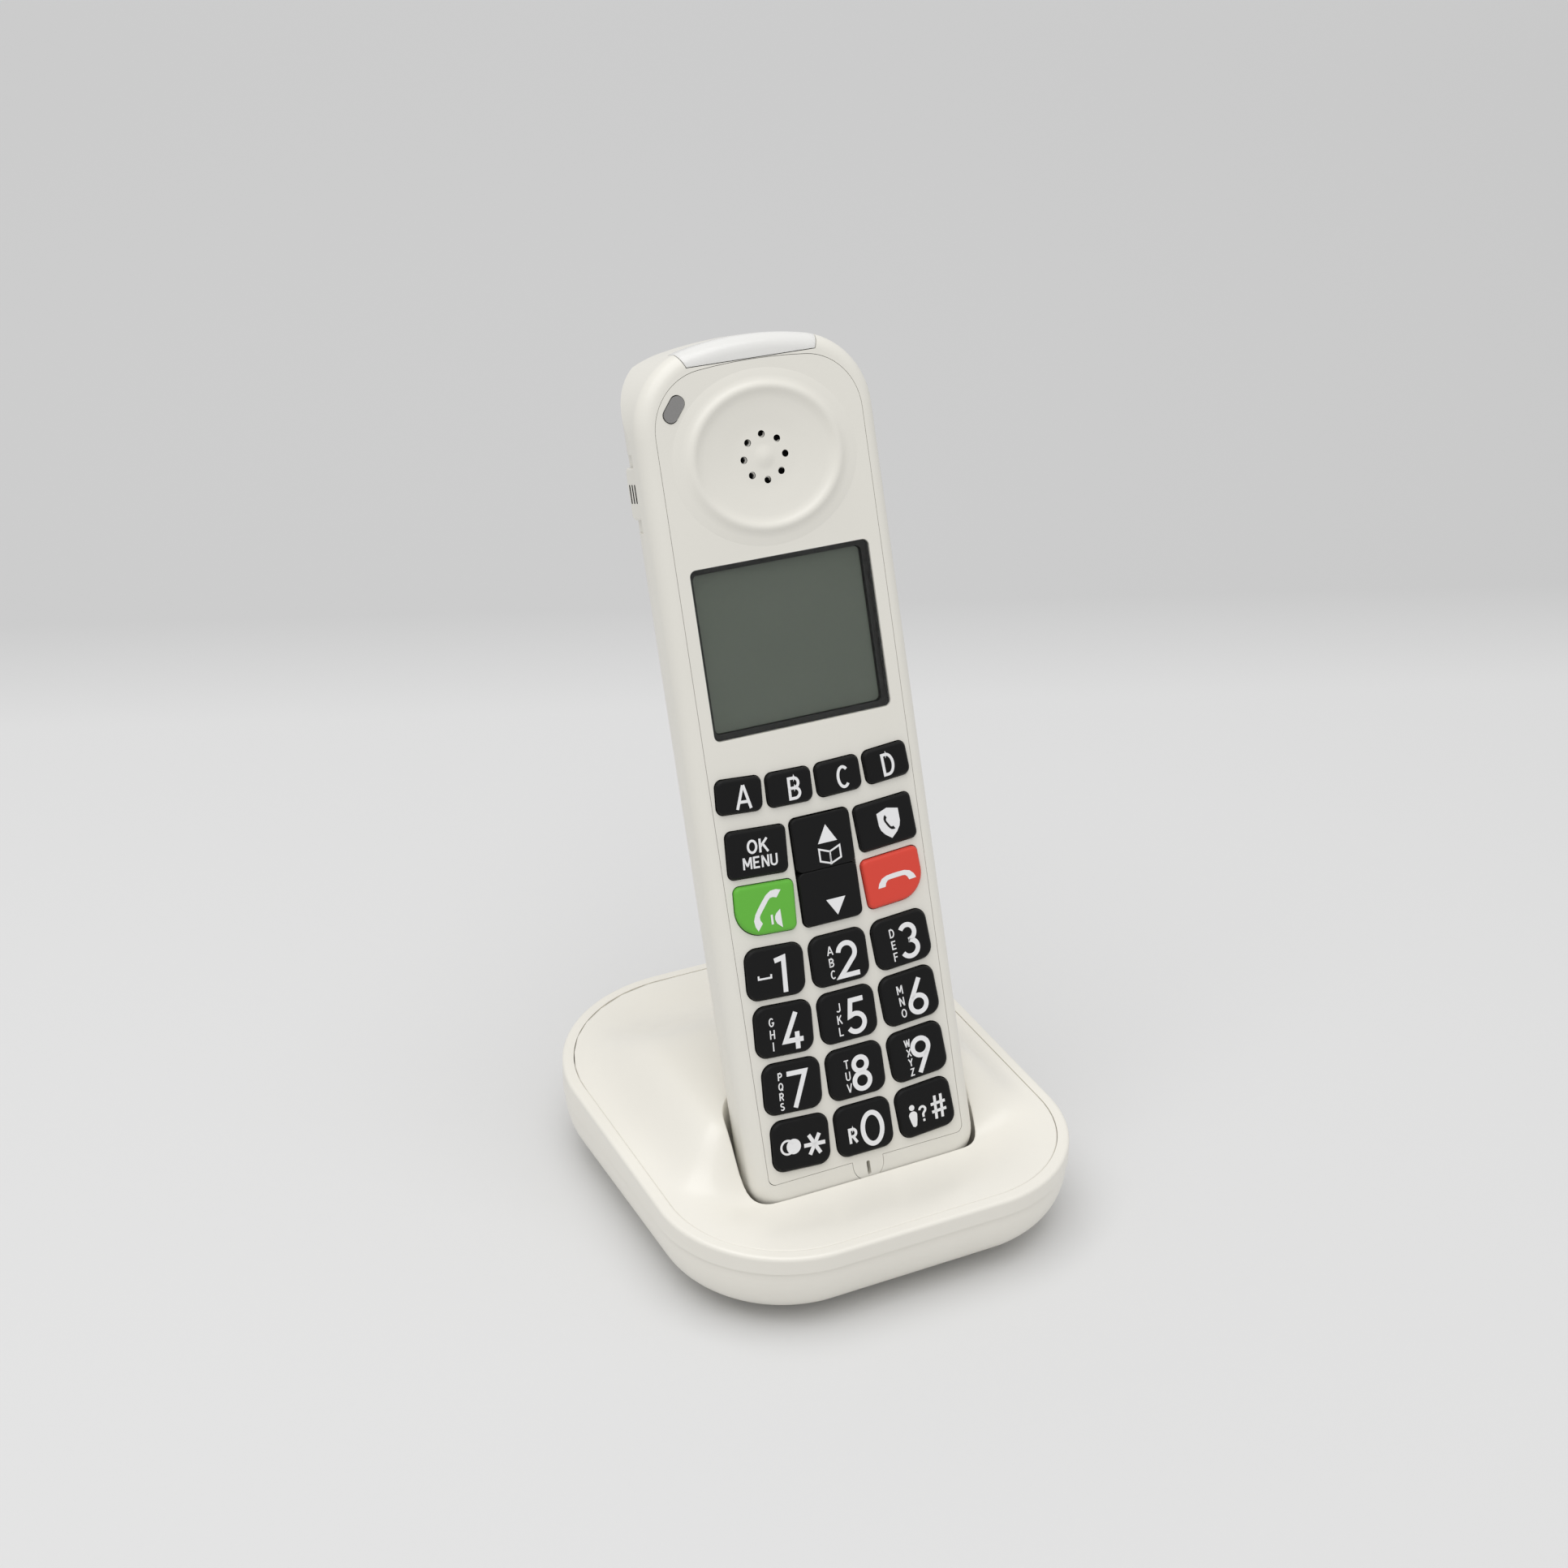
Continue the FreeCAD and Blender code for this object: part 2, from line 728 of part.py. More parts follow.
def hull(name, inset, reach):
    """The rounded back of the handset, drawn in by an inset and ending at its front level."""
    body = new_body(f"{name}_plan")
    plan = handset_outline(new_sketch(body, f"{name}_plan_outline", spot=(0, 0, BACK)), inset)
    pad(body, plan, reach - BACK)
    ellipse = doc.addObject("Part::Ellipse", f"{name}_section")
    bind(ellipse, "MajorRadius", size("handset_width") / 2 - inset)
    bind(ellipse, "MinorRadius", size("back_depth") - inset)
    ellipse.Placement = Placement(Vector(0, -FAR, SPLIT.value), Rotation(Vector(1, 0, 0), 90))
    bind(ellipse, "Placement.Base.z", SPLIT)
    tube = doc.addObject("Part::Extrusion", f"{name}_tube")
    tube.Base = ellipse
    tube.DirMode = "Custom"
    tube.Dir = Vector(0, 1, 0)
    tube.LengthFwd = 2 * FAR
    tube.Solid = True
    ends = new_body(f"{name}_ends")
    tall = size("handset_top") + size("handset_drop") - inset * 2
    deep = size("back_depth") * 2 - inset * 2
    middle = (size("handset_top") - size("handset_drop")) / 2
    sketch = new_sketch(ends, f"{name}_profile", "YZ_Plane", spot=(middle, SPLIT, -FAR / 2))
    top, foot = size("back_top_round") - inset, size("back_bottom_round") - inset
    rounded_quad(sketch, tall, deep, [foot, top, top, foot])
    pad(ends, sketch, length(FAR))
    return common(name, [body, tube, ends])


def bay_block(name, width, foot, head, low, high):
    half = width / 2
    return box(name, (-half, foot, low), (half, head, high))


def make_rear_housing(outer):
    """Back shell with the battery bay, the door's recess, the side slots and the ringer slots."""
    inner = hull("back_inside", size("shell_wall"), SPLIT)
    shell = cut("back_shell", outer, inner)
    frame = size("door_frame") + size("door_gap")
    tub = bay_block("bay_tub", size("door_width") + frame * 2, size("door_foot") - frame,
                    size("door_head") + frame, BACK, BAY_FRONT)
    walls = common("bay_walls", [outer, tub])
    bay = bay_block("bay_space", BAY_WIDTH, size("bay_foot"), BAY_HEAD, BACK - 1, BAY_BACK)
    seat_hull = hull("door_seat", size("door_thick") + size("door_gap"), SPLIT)
    recess = cut("door_recess", bay_block(
        "door_recess_block", size("door_width") + size("door_gap") * 2, size("door_foot") - size("door_gap"),
        size("door_head") + size("door_gap"), BACK - 1, BAY_BACK), seat_hull)
    holes = [bay, recess] + screw_holes() + side_slots() + ringer_slots()
    solid = fuse("back_solid", [shell, walls])
    return keep_on_handset(cut("rear_housing_cut", solid, fuse("back_holes", holes)), "rear_housing")


def screw_holes():
    """Counterbored holes for the two screws under the door."""
    holes = []
    for side, name in ((-1, "left"), (1, "right")):
        spot = size("screw_column") * side
        holes.append(cylinder(f"screw_hole_{name}", size("screw_radius") + size("screw_gap"), length(FAR),
                              (spot, size("screw_row"), length(-FAR / 2))))
        holes.append(cylinder(f"screw_sink_{name}", size("screw_head_radius") + size("screw_gap"),
                              length(FAR) + SCREW_LEVEL, (spot, size("screw_row"), length(-FAR))))
    return holes


def side_slots():
    """The recess of the slide switch on the left and the two key openings on the right."""
    half = size("handset_width") / 2
    slot = box("switch_slot",
               (-half - 1, size("switch_middle") - size("switch_slot_length") / 2,
                -size("switch_depth") - size("switch_slot_width") / 2),
               (-half + size("switch_slot_sink"), size("switch_middle") + size("switch_slot_length") / 2,
                -size("switch_depth") + size("switch_slot_width") / 2))
    gap = size("side_key_gap")
    wide = size("side_key_width") / 2 + gap
    slots = [slot]
    for name, middle, tall in (("volume", size("volume_middle"), size("volume_length")),
                               ("boost", size("boost_middle"), size("boost_length"))):
        slots.append(box(f"{name}_slot",
                         (half - size("side_key_root") - size("side_key_travel"), middle - tall / 2 - gap,
                          -size("side_key_depth") - wide),
                         (half + 1, middle + tall / 2 + gap, -size("side_key_depth") + wide)))
    return slots


def ringer_slots():
    slots = []
    half = size("ringer_slot_length") / 2
    for index in (-1, 0, 1):
        middle = size("ringer_height") + size("ringer_slot_pitch") * index
        slots.append(box(f"ringer_slot_{index + 2}",
                         (-half, middle - size("ringer_slot_width") / 2, BACK - 1),
                         (half, middle + size("ringer_slot_width") / 2, BACK + size("shell_wall") * 2)))
    return slots


def make_battery_door(outer):
    """The part of the back's skin that lifts off over the cells."""
    skin = cut("door_skin", outer, hull("door_inside", size("door_thick"), SPLIT))
    block = bay_block("door_block", size("door_width"), size("door_foot"), size("door_head"),
                      BACK - 1, BAY_BACK)
    return keep_on_handset(common("battery_door_common", [skin, block]), "battery_door")


def make_light_bar():
    block = common("light_bar_common", [handset_front(), bar_block("bar_fill", length(0))])
    return keep_on_handset(block, "light_bar")


def make_fascia():
    """Inset front plate with the key openings, screen opening, earpiece and microphone slot."""
    body = new_body("fascia_plate")
    pad(body, fascia_outline(new_sketch(body, "fascia_outline", spot=(0, 0, FASCIA_BACK)), length(0)),
        size("fascia_thick"))
    tongue(body, "tongue", FASCIA_BACK, length(0), length(0), False)
    for side, name in ((-1, "left"), (1, "right")):
        spot = (size("screw_column") * side, size("screw_row"))
        disc(body, f"boss_{name}", size("screw_boss"), BOARD_FRONT, FASCIA_BACK, middle=spot)
        sketch = new_sketch(body, f"boss_hole_{name}", spot=(spot[0], spot[1], BOARD_FRONT))
        pocket(body, circle(sketch, size("screw_radius")), size("screw_bite"), back=True)
    for name, (across, along, turn, width, height, radii) in KEYS.items():
        gap = size("rocker_gap") if name == "navigation" else size("key_gap")
        wider = [radius + gap for radius in radii]
        opening(body, f"hole_{name}", width + gap * 2, height + gap * 2, length(0), size("fascia_thick"),
                wider, middle=(across, along), turn=turn)
    gap = size("screen_gap")
    opening(body, "screen_hole", size("screen_width") + gap * 2, size("screen_height") + gap * 2,
            length(0), size("fascia_thick"), size("screen_corner") + gap,
            middle=(0, size("screen_middle")))
    opening(body, "pill_hole", size("pill_width") + gap * 2, size("pill_length") + gap * 2, length(0),
            size("fascia_thick"), size("pill_width") / 2, turn=size("pill_tilt"),
            middle=(size("pill_across"), size("pill_height")))
    opening(body, "mic_slot", size("mic_slot_width"), size("mic_slot_length"), length(0),
            size("fascia_thick"), size("mic_slot_width") / 2 - SLIVER, middle=(0, -size("mic_drop")))
    dish = ear_ellipse("ear_dish_line", size("ear_ring_width") / 2, size("ear_ring_height") / 2,
                       -size("ear_dish_depth"))
    dish_space = doc.addObject("Part::Extrusion", "ear_dish")
    dish_space.Base = dish
    dish_space.DirMode = "Custom"
    dish_space.Dir = Vector(0, 0, 1)
    bind(dish_space, "LengthFwd", size("ear_dish_depth") * 2)
    dish_space.Solid = True
    ring = ear_ring()
    dome = cut("ear_dome", ear_dome(), box("ear_dome_trim", (-FAR, 0, -FAR), (FAR, FAR, FASCIA_BACK)))
    plate = fuse("fascia_raised", [cut("fascia_dished", body, dish_space), ring, dome])
    holes = []
    for index in range(EAR_HOLES):
        angle = 2 * math.pi * index / EAR_HOLES
        spot = (size("ear_hole_circle") * math.cos(angle),
                size("ear_height") + size("ear_hole_circle") * math.sin(angle), FASCIA_BACK - 1)
        holes.append(cylinder(f"ear_hole_{index + 1}", size("ear_hole_radius"),
                              size("fascia_thick") + 2, spot))
    return keep_on_handset(cut("fascia_cut", plate, fuse("ear_holes", holes)), "fascia")


def ear_ellipse(name, across, along, level):
    ellipse = doc.addObject("Part::Ellipse", name)
    bind(ellipse, "MajorRadius", across)
    bind(ellipse, "MinorRadius", along)
    bind(ellipse, "Placement.Base.y", size("ear_height"))
    bind(ellipse, "Placement.Base.z", level)
    return ellipse


def ear_ring():
    """The raised oval ring round the earpiece, a tube half sunk in the fascia."""
    path = ear_ellipse("ear_ring_path", size("ear_ring_width") / 2, size("ear_ring_height") / 2,
                       -size("ear_ring_sink"))
    section = doc.addObject("Part::Circle", "ear_ring_section")
    bind(section, "Radius", size("ear_ring_tube"))
    start = Vector(size("ear_ring_width").value / 2, size("ear_height").value, -size("ear_ring_sink").value)
    section.Placement = Placement(start, Rotation(Vector(1, 0, 0), 90))
    bind(section, "Placement.Base.x", size("ear_ring_width") / 2)
    bind(section, "Placement.Base.y", size("ear_height"))
    bind(section, "Placement.Base.z", -size("ear_ring_sink"))
    sweep = doc.addObject("Part::Sweep", "ear_ring")
    sweep.Sections = [section]
    sweep.Spine = (path, ["Edge1"])
    sweep.Solid = True
    sweep.Frenet = True
    return sweep


def ear_dome():
    """A low dome in the middle of the earpiece dish."""
    dome = doc.addObject("Part::Sphere", "ear_dome_ball")
    bind(dome, "Radius", size("ear_dome_radius"))
    bind(dome, "Placement.Base.y", size("ear_height"))
    bind(dome, "Placement.Base.z",
         size("ear_dome_rise") - size("ear_dish_depth") - size("ear_dome_radius"))
    return dome


# Handset inside

def make_screen():
    """Clear window, dark frame and liquid crystal panel, one behind the other."""
    middle = (0, size("screen_middle"))
    window = new_body("display_window")
    front = -size("window_sink")
    slab(window, "window", size("screen_width"), size("screen_height"), front - size("window_thick"),
         front, size("screen_corner"), middle=middle)
    keep_on_handset(window, "display_window")
    frame = new_body("display_frame")
    frame_top = FASCIA_BACK - size("fascia_gap")
    rim = size("screen_rim") * 2
    slab(frame, "frame", size("screen_width") + rim, size("screen_height") + rim, BOARD_FRONT, frame_top,
         size("screen_corner"), middle=middle)
    lip = size("frame_lip") * 2
    opening(frame, "frame_opening", size("screen_width") - lip, size("screen_height") - lip, frame_top,
            frame_top - BOARD_FRONT, size("screen_corner"), middle=middle)
    keep_on_handset(frame, "display_frame")
    panel = new_body("display_panel")
    slack = lip + size("screen_gap") * 2
    slab(panel, "panel", size("screen_width") - slack, size("screen_height") - slack,
         BOARD_FRONT + size("panel_thick") / 2, BOARD_FRONT + size("panel_thick") * 1.5,
         size("screen_corner"), middle=middle)
    keep_on_handset(panel, "display_panel")
    light = new_body("display_backlight")
    slab(light, "backlight", size("screen_width") - slack, size("screen_height") - slack, BOARD_FRONT,
         BOARD_FRONT + size("panel_thick") / 2, size("screen_corner"), middle=middle)
    keep_on_handset(light, "display_backlight")


def make_indicator_lens():
    body = new_body("indicator_lens")
    slab(body, "lens", size("pill_width"), size("pill_length"), FASCIA_BACK, size("pill_rise"),
         size("pill_width") / 2 - 0.01, middle=(size("pill_across"), size("pill_height")),
         turn=size("pill_tilt"))
    return keep_on_handset(body, "indicator_lens")


def make_boards():
    """Main board, key mat, antenna and microphone."""
    board = new_body("main_board")
    wide = size("handset_width") - size("shell_wall") * 2 - size("board_gap") * 2
    tall = size("board_top") + size("board_drop")
    slab(board, "board", wide, tall, BOARD_BACK, BOARD_FRONT, size("bottom_corner"),
         middle=(0, (size("board_top") - size("board_drop")) / 2))
    for side, name in ((-1, "left"), (1, "right")):
        bore(board, f"board_hole_{name}", size("screw_radius") + size("screw_gap"), BOARD_FRONT,
             size("board_thick"), middle=(size("screw_column") * side, size("screw_row")))
    keep_on_handset(board, "main_board")
    mat = new_body("keypad_mat")
    mat_tall = size("mat_top") + size("board_drop")
    slab(mat, "mat", wide - size("shell_wall"), mat_tall, BOARD_FRONT, BOARD_FRONT + size("mat_thick"),
         size("digit_corner"), middle=(0, (size("mat_top") - size("board_drop")) / 2))
    keep_on_handset(mat, "keypad_mat")
    antenna = new_body("antenna_strip")
    slab(antenna, "strip", size("antenna_length"), size("antenna_width"),
         BOARD_BACK - size("antenna_thick"), BOARD_BACK, size("antenna_thick"),
         middle=(0, size("antenna_height")))
    keep_on_handset(antenna, "antenna_strip")
    mic = new_body("microphone")
    front = LEDGE_BACK - size("fascia_gap")
    disc(mic, "capsule", size("mic_radius"), front - size("mic_depth"), front,
         middle=(0, -size("mic_drop")))
    keep_on_handset(mic, "microphone")


def make_speakers():
    ear = new_body("earpiece_speaker")
    front = FASCIA_BACK - size("key_gap")
    disc(ear, "ear_speaker", size("speaker_radius"), front - size("speaker_depth"), front,
         middle=(0, size("ear_height")))
    disc(ear, "ear_magnet", size("speaker_radius") / 2, front - size("speaker_depth") * 1.6,
         front - size("speaker_depth"), middle=(0, size("ear_height")))
    keep_on_handset(ear, "earpiece_speaker")
    ringer = new_body("ringer_speaker")
    edge = (size("ringer_radius") / (size("handset_width") / 2 - size("shell_wall"))).value
    sink = (size("back_depth") - size("shell_wall")) * math.sqrt(1 - edge ** 2)
    rear = SPLIT - sink + size("key_gap")
    disc(ringer, "ringer", size("ringer_radius"), rear, rear + size("ringer_depth"),
         middle=(0, size("ringer_height")))
    keep_on_handset(ringer, "ringer_speaker")


def make_cells():
    """Two small rechargeable cells, each with a positive nub, side by side in the bay."""
    for side, name in ((-1, "left"), (1, "right")):
        body = new_body(f"battery_cell_{name}")
        spot = (CELL_COLUMN * side, CELL_DEPTH, -CELL_FOOT)
        can = new_sketch(body, f"can_{name}", "XZ_Plane", spot=spot)
        pad(body, circle(can, CELL_RADIUS), size("cell_length"), back=True)
        nub = new_sketch(body, f"nub_{name}", "XZ_Plane",
                         spot=(spot[0], spot[1], spot[2] - size("cell_length")))
        pad(body, circle(nub, size("cell_nub_radius")), size("cell_nub_length"), back=True)
        keep_on_handset(body, f"battery_cell_{name}")


def make_battery_contacts():
    """Plates at the ends of the bay, with a coned spring's envelope at each negative end."""
    pieces = []
    half = size("contact_size") / 2
    for side, name in ((-1, "left"), (1, "right")):
        spot = CELL_COLUMN * side
        low = box(f"contact_foot_{name}", (spot - half, size("bay_foot"), CELL_DEPTH - half),
                  (spot + half, size("bay_foot") + size("contact_thick"), CELL_DEPTH + half))
        coil = doc.addObject("Part::Cone", f"contact_coil_{name}")
        bind(coil, "Radius1", size("contact_size") / 2)
        bind(coil, "Radius2", size("cell_nub_radius"))
        bind(coil, "Height", size("contact_spring_length") - size("cell_gap"))
        coil.Placement = Placement(Vector(0, 0, 0), Rotation(Vector(1, 0, 0), -90))
        bind(coil, "Placement.Base.x", spot)
        bind(coil, "Placement.Base.y", size("bay_foot") + size("contact_thick"))
        bind(coil, "Placement.Base.z", CELL_DEPTH)
        pieces.append(fuse(f"contact_{name}", [low, coil]))
        head = BAY_HEAD - size("contact_thick")
        pieces.append(box(f"contact_head_{name}", (spot - half, head, CELL_DEPTH - half),
                          (spot + half, BAY_HEAD, CELL_DEPTH + half)))
    return keep_on_handset(combine("Part::Compound", "battery_contact_set", pieces), "battery_contacts")


def make_handset_screws():
    screws = []
    for side, name in ((-1, "left"), (1, "right")):
        across, along = size("screw_column") * side, size("screw_row")
        shank = cylinder(f"shank_{name}", size("screw_radius"), SCREW_TIP - SCREW_LEVEL,
                         (across, along, SCREW_LEVEL))
        head = cylinder(f"screw_head_{name}", size("screw_head_radius"), size("screw_head_depth"),
                        (across, along, SCREW_LEVEL - size("screw_head_depth")))
        screws.append(fuse(f"screw_{name}", [shank, head]))
    return keep_on_handset(combine("Part::Compound", "handset_screw_set", screws), "handset_screws")


def make_charge_plates():
    """Two contact plates let into the foot of the handset."""
    plates = []
    half_wide, half_deep = size("plate_width") / 2, size("plate_height") / 2
    gap = size("fascia_gap")
    foot = -size("handset_drop") + size("plate_sink")
    middle = -size("pin_depth")
    for side, name in ((-1, "left"), (1, "right")):
        across = size("pin_column") * side
        plates.append(box(f"plate_{name}", (across - half_wide + gap, foot, middle - half_deep + gap),
                          (across + half_wide - gap, foot + size("plate_thick"), middle + half_deep - gap)))
    return keep_on_handset(combine("Part::Compound", "charge_plate_set", plates), "charge_plates")


# Side controls

def make_tone_switch():
    """Slide switch in the recess on the handset's left side."""
    half = size("handset_width") / 2
    floor = -half + size("switch_slot_sink") - size("key_gap")
    body = new_body("tone_switch")
    sketch = new_sketch(body, "slider", "YZ_Plane",
                        spot=(size("switch_middle"), -size("switch_depth"), floor))
    rounded_quad(sketch, size("switch_length"), size("switch_width"), [size("key_round") * 2] * 4)
    pad(body, sketch, floor + half + size("switch_rise"), back=True)
    round_edges(body, at_level("x", -half - size("switch_rise")), size("key_round"))
    return keep_on_handset(body, "tone_switch")


def make_side_key(name, middle, tall):
    """A key on the handset's right side, kept in its slot by its depth."""
    half = size("handset_width") / 2
    body = new_body(f"{name}_key")
    root = half - size("side_key_root")
    sketch = new_sketch(body, f"{name}_cap", "YZ_Plane", spot=(middle, -size("side_key_depth"), root))
    rounded_quad(sketch, tall, size("side_key_width"), [size("side_key_width") / 2 - SLIVER] * 4)
    pad(body, sketch, size("side_key_root") + size("side_key_rise"))
    round_edges(body, at_level("x", half + size("side_key_rise")), size("key_round"))
    return keep_on_handset(body, f"{name}_key")


# Cradle

def cradle_outline(sketch, inset):
    front, back = size("front_corner") - inset, size("back_corner") - inset
    return rounded_quad(sketch, size("cradle_width") - inset * 2, size("cradle_depth") - inset * 2,
                        [back, back, front, front])


def cradle_plug(name, inset, low, high):
    body = new_body(name)
    pad(body, cradle_outline(new_sketch(body, f"{name}_outline", spot=(0, 0, low)), inset), high - low)
    return body


BASE_FLOOR_TOP = size("foot_height") + size("base_floor")
SHELF_TOP = size("parting_height") + size("rim_shelf_thick")
BASE_SCREWS = [
    (size(f"base_screw_{place}_column") * side, size(f"base_screw_{place}_row"), f"{place}_{word}")
    for place in ("front", "back") for side, word in ((-1, "left"), (1, "right"))
]
SOCKET_LOW = BASE_FLOOR_TOP + size("cover_gap")
SOCKET_MOUTH_LOW = SOCKET_LOW + (size("socket_height") - size("socket_mouth_height")) / 2


def bowl(name, inset, low, high, radius):
    """A block with the cradle's outline, rounded along its bottom edge."""
    body = cradle_plug(name, inset, low, high)
    round_edges(body, at_level("z", low), radius)
    return body


def make_cradle_base():
    """Bowl-shaped lower shell with the foot recesses, screw holes and power opening."""
    bottom, top = size("foot_height"), size("parting_height")
    outside = bowl("base_bowl", size("base_inset"), bottom, top, size("base_round"))
    inside = bowl("base_inside", size("base_inset") + size("base_wall"), BASE_FLOOR_TOP,
                  top + size("base_wall"), size("base_round") - size("base_wall"))
    holes = [inside]
    for across, along, name in BASE_SCREWS:
        holes.append(cylinder(f"base_hole_{name}", size("base_screw_radius") + size("screw_gap"),
                              top, (across, along, length(0))))
        holes.append(cylinder(f"base_sink_{name}", size("base_screw_head_radius") + size("screw_gap"),
                              bottom + size("base_screw_head_depth"), (across, along, length(0))))
    for across, along, name in foot_places():
        holes.append(cylinder(f"foot_seat_{name}", size("foot_radius") + size("cover_gap"),
                              bottom + size("foot_sink"), (across, along, length(0))))
    gap = size("socket_gap")
    half = size("socket_width") / 2 + gap
    holes.append(box("socket_way", (-half, size("socket_face") - size("socket_depth"), SOCKET_LOW - gap),
                     (half, size("cradle_depth"), SOCKET_LOW + size("socket_height") + gap)))
    return keep(cut("cradle_base_cut", outside, fuse("base_holes", holes)), "cradle_base")


def foot_places():
    return [(size("foot_column") * side, size("foot_row") * end, f"{end_word}_{word}")
            for side, word in ((-1, "left"), (1, "right"))
            for end, end_word in ((-1, "front"), (1, "back"))]


def make_feet():
    feet = [cylinder(f"foot_{name}", size("foot_radius"), size("foot_height") + size("foot_sink"),
                     (across, along, 0)) for across, along, name in foot_places()]
    return keep(combine("Part::Compound", "foot_set", feet), "cradle_feet")


def make_cradle_rim():
    """Upper side band of the cradle, its top edge tilted up to the back, with a shelf inside."""
    body = new_body("cradle_rim")
    top = size("rim_height") + size("cradle_depth") / 10
    outline = cradle_outline(new_sketch(body, "rim_outline", spot=(0, 0, size("parting_height"))), length(0))
    pad(body, outline, top - size("parting_height"))
    trim = body.newObject("PartDesign::SubtractiveBox", "rim_trim")
    plane = next(item for item in body.Origin.OriginFeatures if item.Role == "XY_Plane")
    trim.AttachmentSupport = [(plane, "")]
    trim.MapMode = "FlatFace"
    for prop in ("Length", "Width", "Height"):
        setattr(trim, prop, 2 * FAR)
    tilt = Rotation(Vector(1, 0, 0), size("rim_tilt").value)
    start = Vector(0, 0, size("rim_height").value) + tilt.multVec(Vector(-FAR, -FAR, 0))
    trim.AttachmentOffset = Placement(start, tilt)
    doc.recompute()
    normal = tilt.multVec(Vector(0, 0, 1))
    middle = Vector(0, 0, size("rim_height").value)

    def on_top(edge):
        return all(abs((v.Point - middle).dot(normal)) < NEAR for v in edge.Vertexes)

    round_edges(body, on_top, size("rim_round"))
    hollow = cradle_outline(new_sketch(body, "rim_hollow", spot=(0, 0, top)), size("rim_wall"))
    pocket(body, hollow, top - SHELF_TOP)
    shelf = cradle_outline(new_sketch(body, "rim_shelf", spot=(0, 0, SHELF_TOP)),
                           size("rim_wall") + size("rim_shelf"))
    pocket(body, shelf, size("rim_shelf_thick"))
    return keep(body, "cradle_rim")


def smooth_step(value):
    value = min(max(value, 0.0), 1.0)
    return value * value * value * (value * (value * 6 - 15) + 10)


def cover_height(x, y):
    """Height of the cradle's top: level at the rim, dished inside it, humped round the handset."""
    slope = math.tan(math.radians(size("rim_tilt").value))
    rim = size("rim_height").value + slope * y
    half_width = size("cradle_width").value / 2 - size("rim_wall").value
    half_depth = size("cradle_depth").value / 2 - size("rim_wall").value
    spread = ((x / half_width) ** 4 + (y / half_depth) ** 4) ** 0.25
    dish = size("dish_depth").value * smooth_step((1 - spread) / size("dish_reach").value)
    shoulder = size("hump_shoulder").value
    across = smooth_step((half_width - abs(x)) / (half_width - shoulder))
    front_foot, front_crest = size("hump_foot_front").value, size("hump_crest_front").value
    back_foot, back_crest = size("hump_foot_back").value, size("hump_crest_back").value
    rise = smooth_step((y - front_foot) / (front_crest - front_foot))
    fall = smooth_step((back_foot - y) / (back_foot - back_crest))
    return rim - dish + size("hump_height").value * across * rise * fall


def sky(name, lower):
    """The space above the cradle's top surface, lowered by an amount."""
    half_width = size("cradle_width").value / 2 + 1
    half_depth = size("cradle_depth").value / 2 + 1
    grid = []
    for i in range(HEIGHT_STEPS + 1):
        x = half_width * (2 * i / HEIGHT_STEPS - 1)
        row = []
        for j in range(HEIGHT_STEPS + 1):
            y = half_depth * (2 * j / HEIGHT_STEPS - 1)
            row.append(Vector(x, y, cover_height(x, y) - lower.value))
        grid.append(row)
    surface = Part.BSplineSurface()
    surface.interpolate(grid)
    feature = doc.addObject("Part::Feature", name)
    feature.Shape = surface.toShape().extrude(Vector(0, 0, FAR))
    return feature


def pocket_block(name, grow, reach):
    """The leaning space that the handset's foot fills, grown by an amount on every side."""
    body = new_body(f"{name}_section")
    gap = size("pocket_gap") + grow
    back, front = BACK - gap, gap
    wide = size("handset_width") + (size("pocket_side") + grow) * 2
    foot = -size("handset_drop") - gap
    sketch = new_sketch(body, f"{name}_outline", "XZ_Plane", spot=(0, (front + back) / 2, -foot))
    front_corner, back_corner = size("pocket_front_corner") + grow, size("pocket_back_corner") + grow
    rounded_quad(sketch, wide, front - back, [front_corner, front_corner, back_corner, back_corner])
    pad(body, sketch, reach - foot, back=True)
    ends = new_body(f"{name}_ends")
    tall, deep = (reach - foot) * 2, (front - back) * 2
    profile = new_sketch(ends, f"{name}_profile", "YZ_Plane",
                         spot=(foot + tall / 2, back + deep / 2, -FAR / 2))
    heel = size("back_bottom_round") + gap
    rounded_quad(profile, tall, deep, [grow + 1, grow + 1, grow + 1, heel])
    pad(ends, profile, length(FAR))
    return lean(common(name, [body, ends]))


POCKET_FLOOR = -size("handset_drop") - size("pocket_gap")
TUB_FLOOR = POCKET_FLOOR - size("pocket_wall")
PIN_TIP = -size("handset_drop") + size("plate_sink") - size("pin_clear")
PIN_FLANGE_TOP = TUB_FLOOR - size("pin_gap")
SPRING_TOP = PIN_FLANGE_TOP - size("pin_flange_thick")
CHARGE_BOARD_TOP = SPRING_TOP - size("spring_length")
CHARGE_BOARD_LOW = CHARGE_BOARD_TOP - size("charge_board_thick")


def leaning_rods(name, radius, low, high, column, depth):
    """A pair of rods along the handset's own direction, one each side of its middle."""
    body = new_body(name)
    body.AllowCompound = True
    sketch = new_sketch(body, f"{name}_pair", "XZ_Plane", spot=(0, 0, -low))
    for side in (-1, 1):
        circle(sketch, radius, across=column * side, along=-depth)
    pad(body, sketch, high - low, back=True)
    return lean(body)


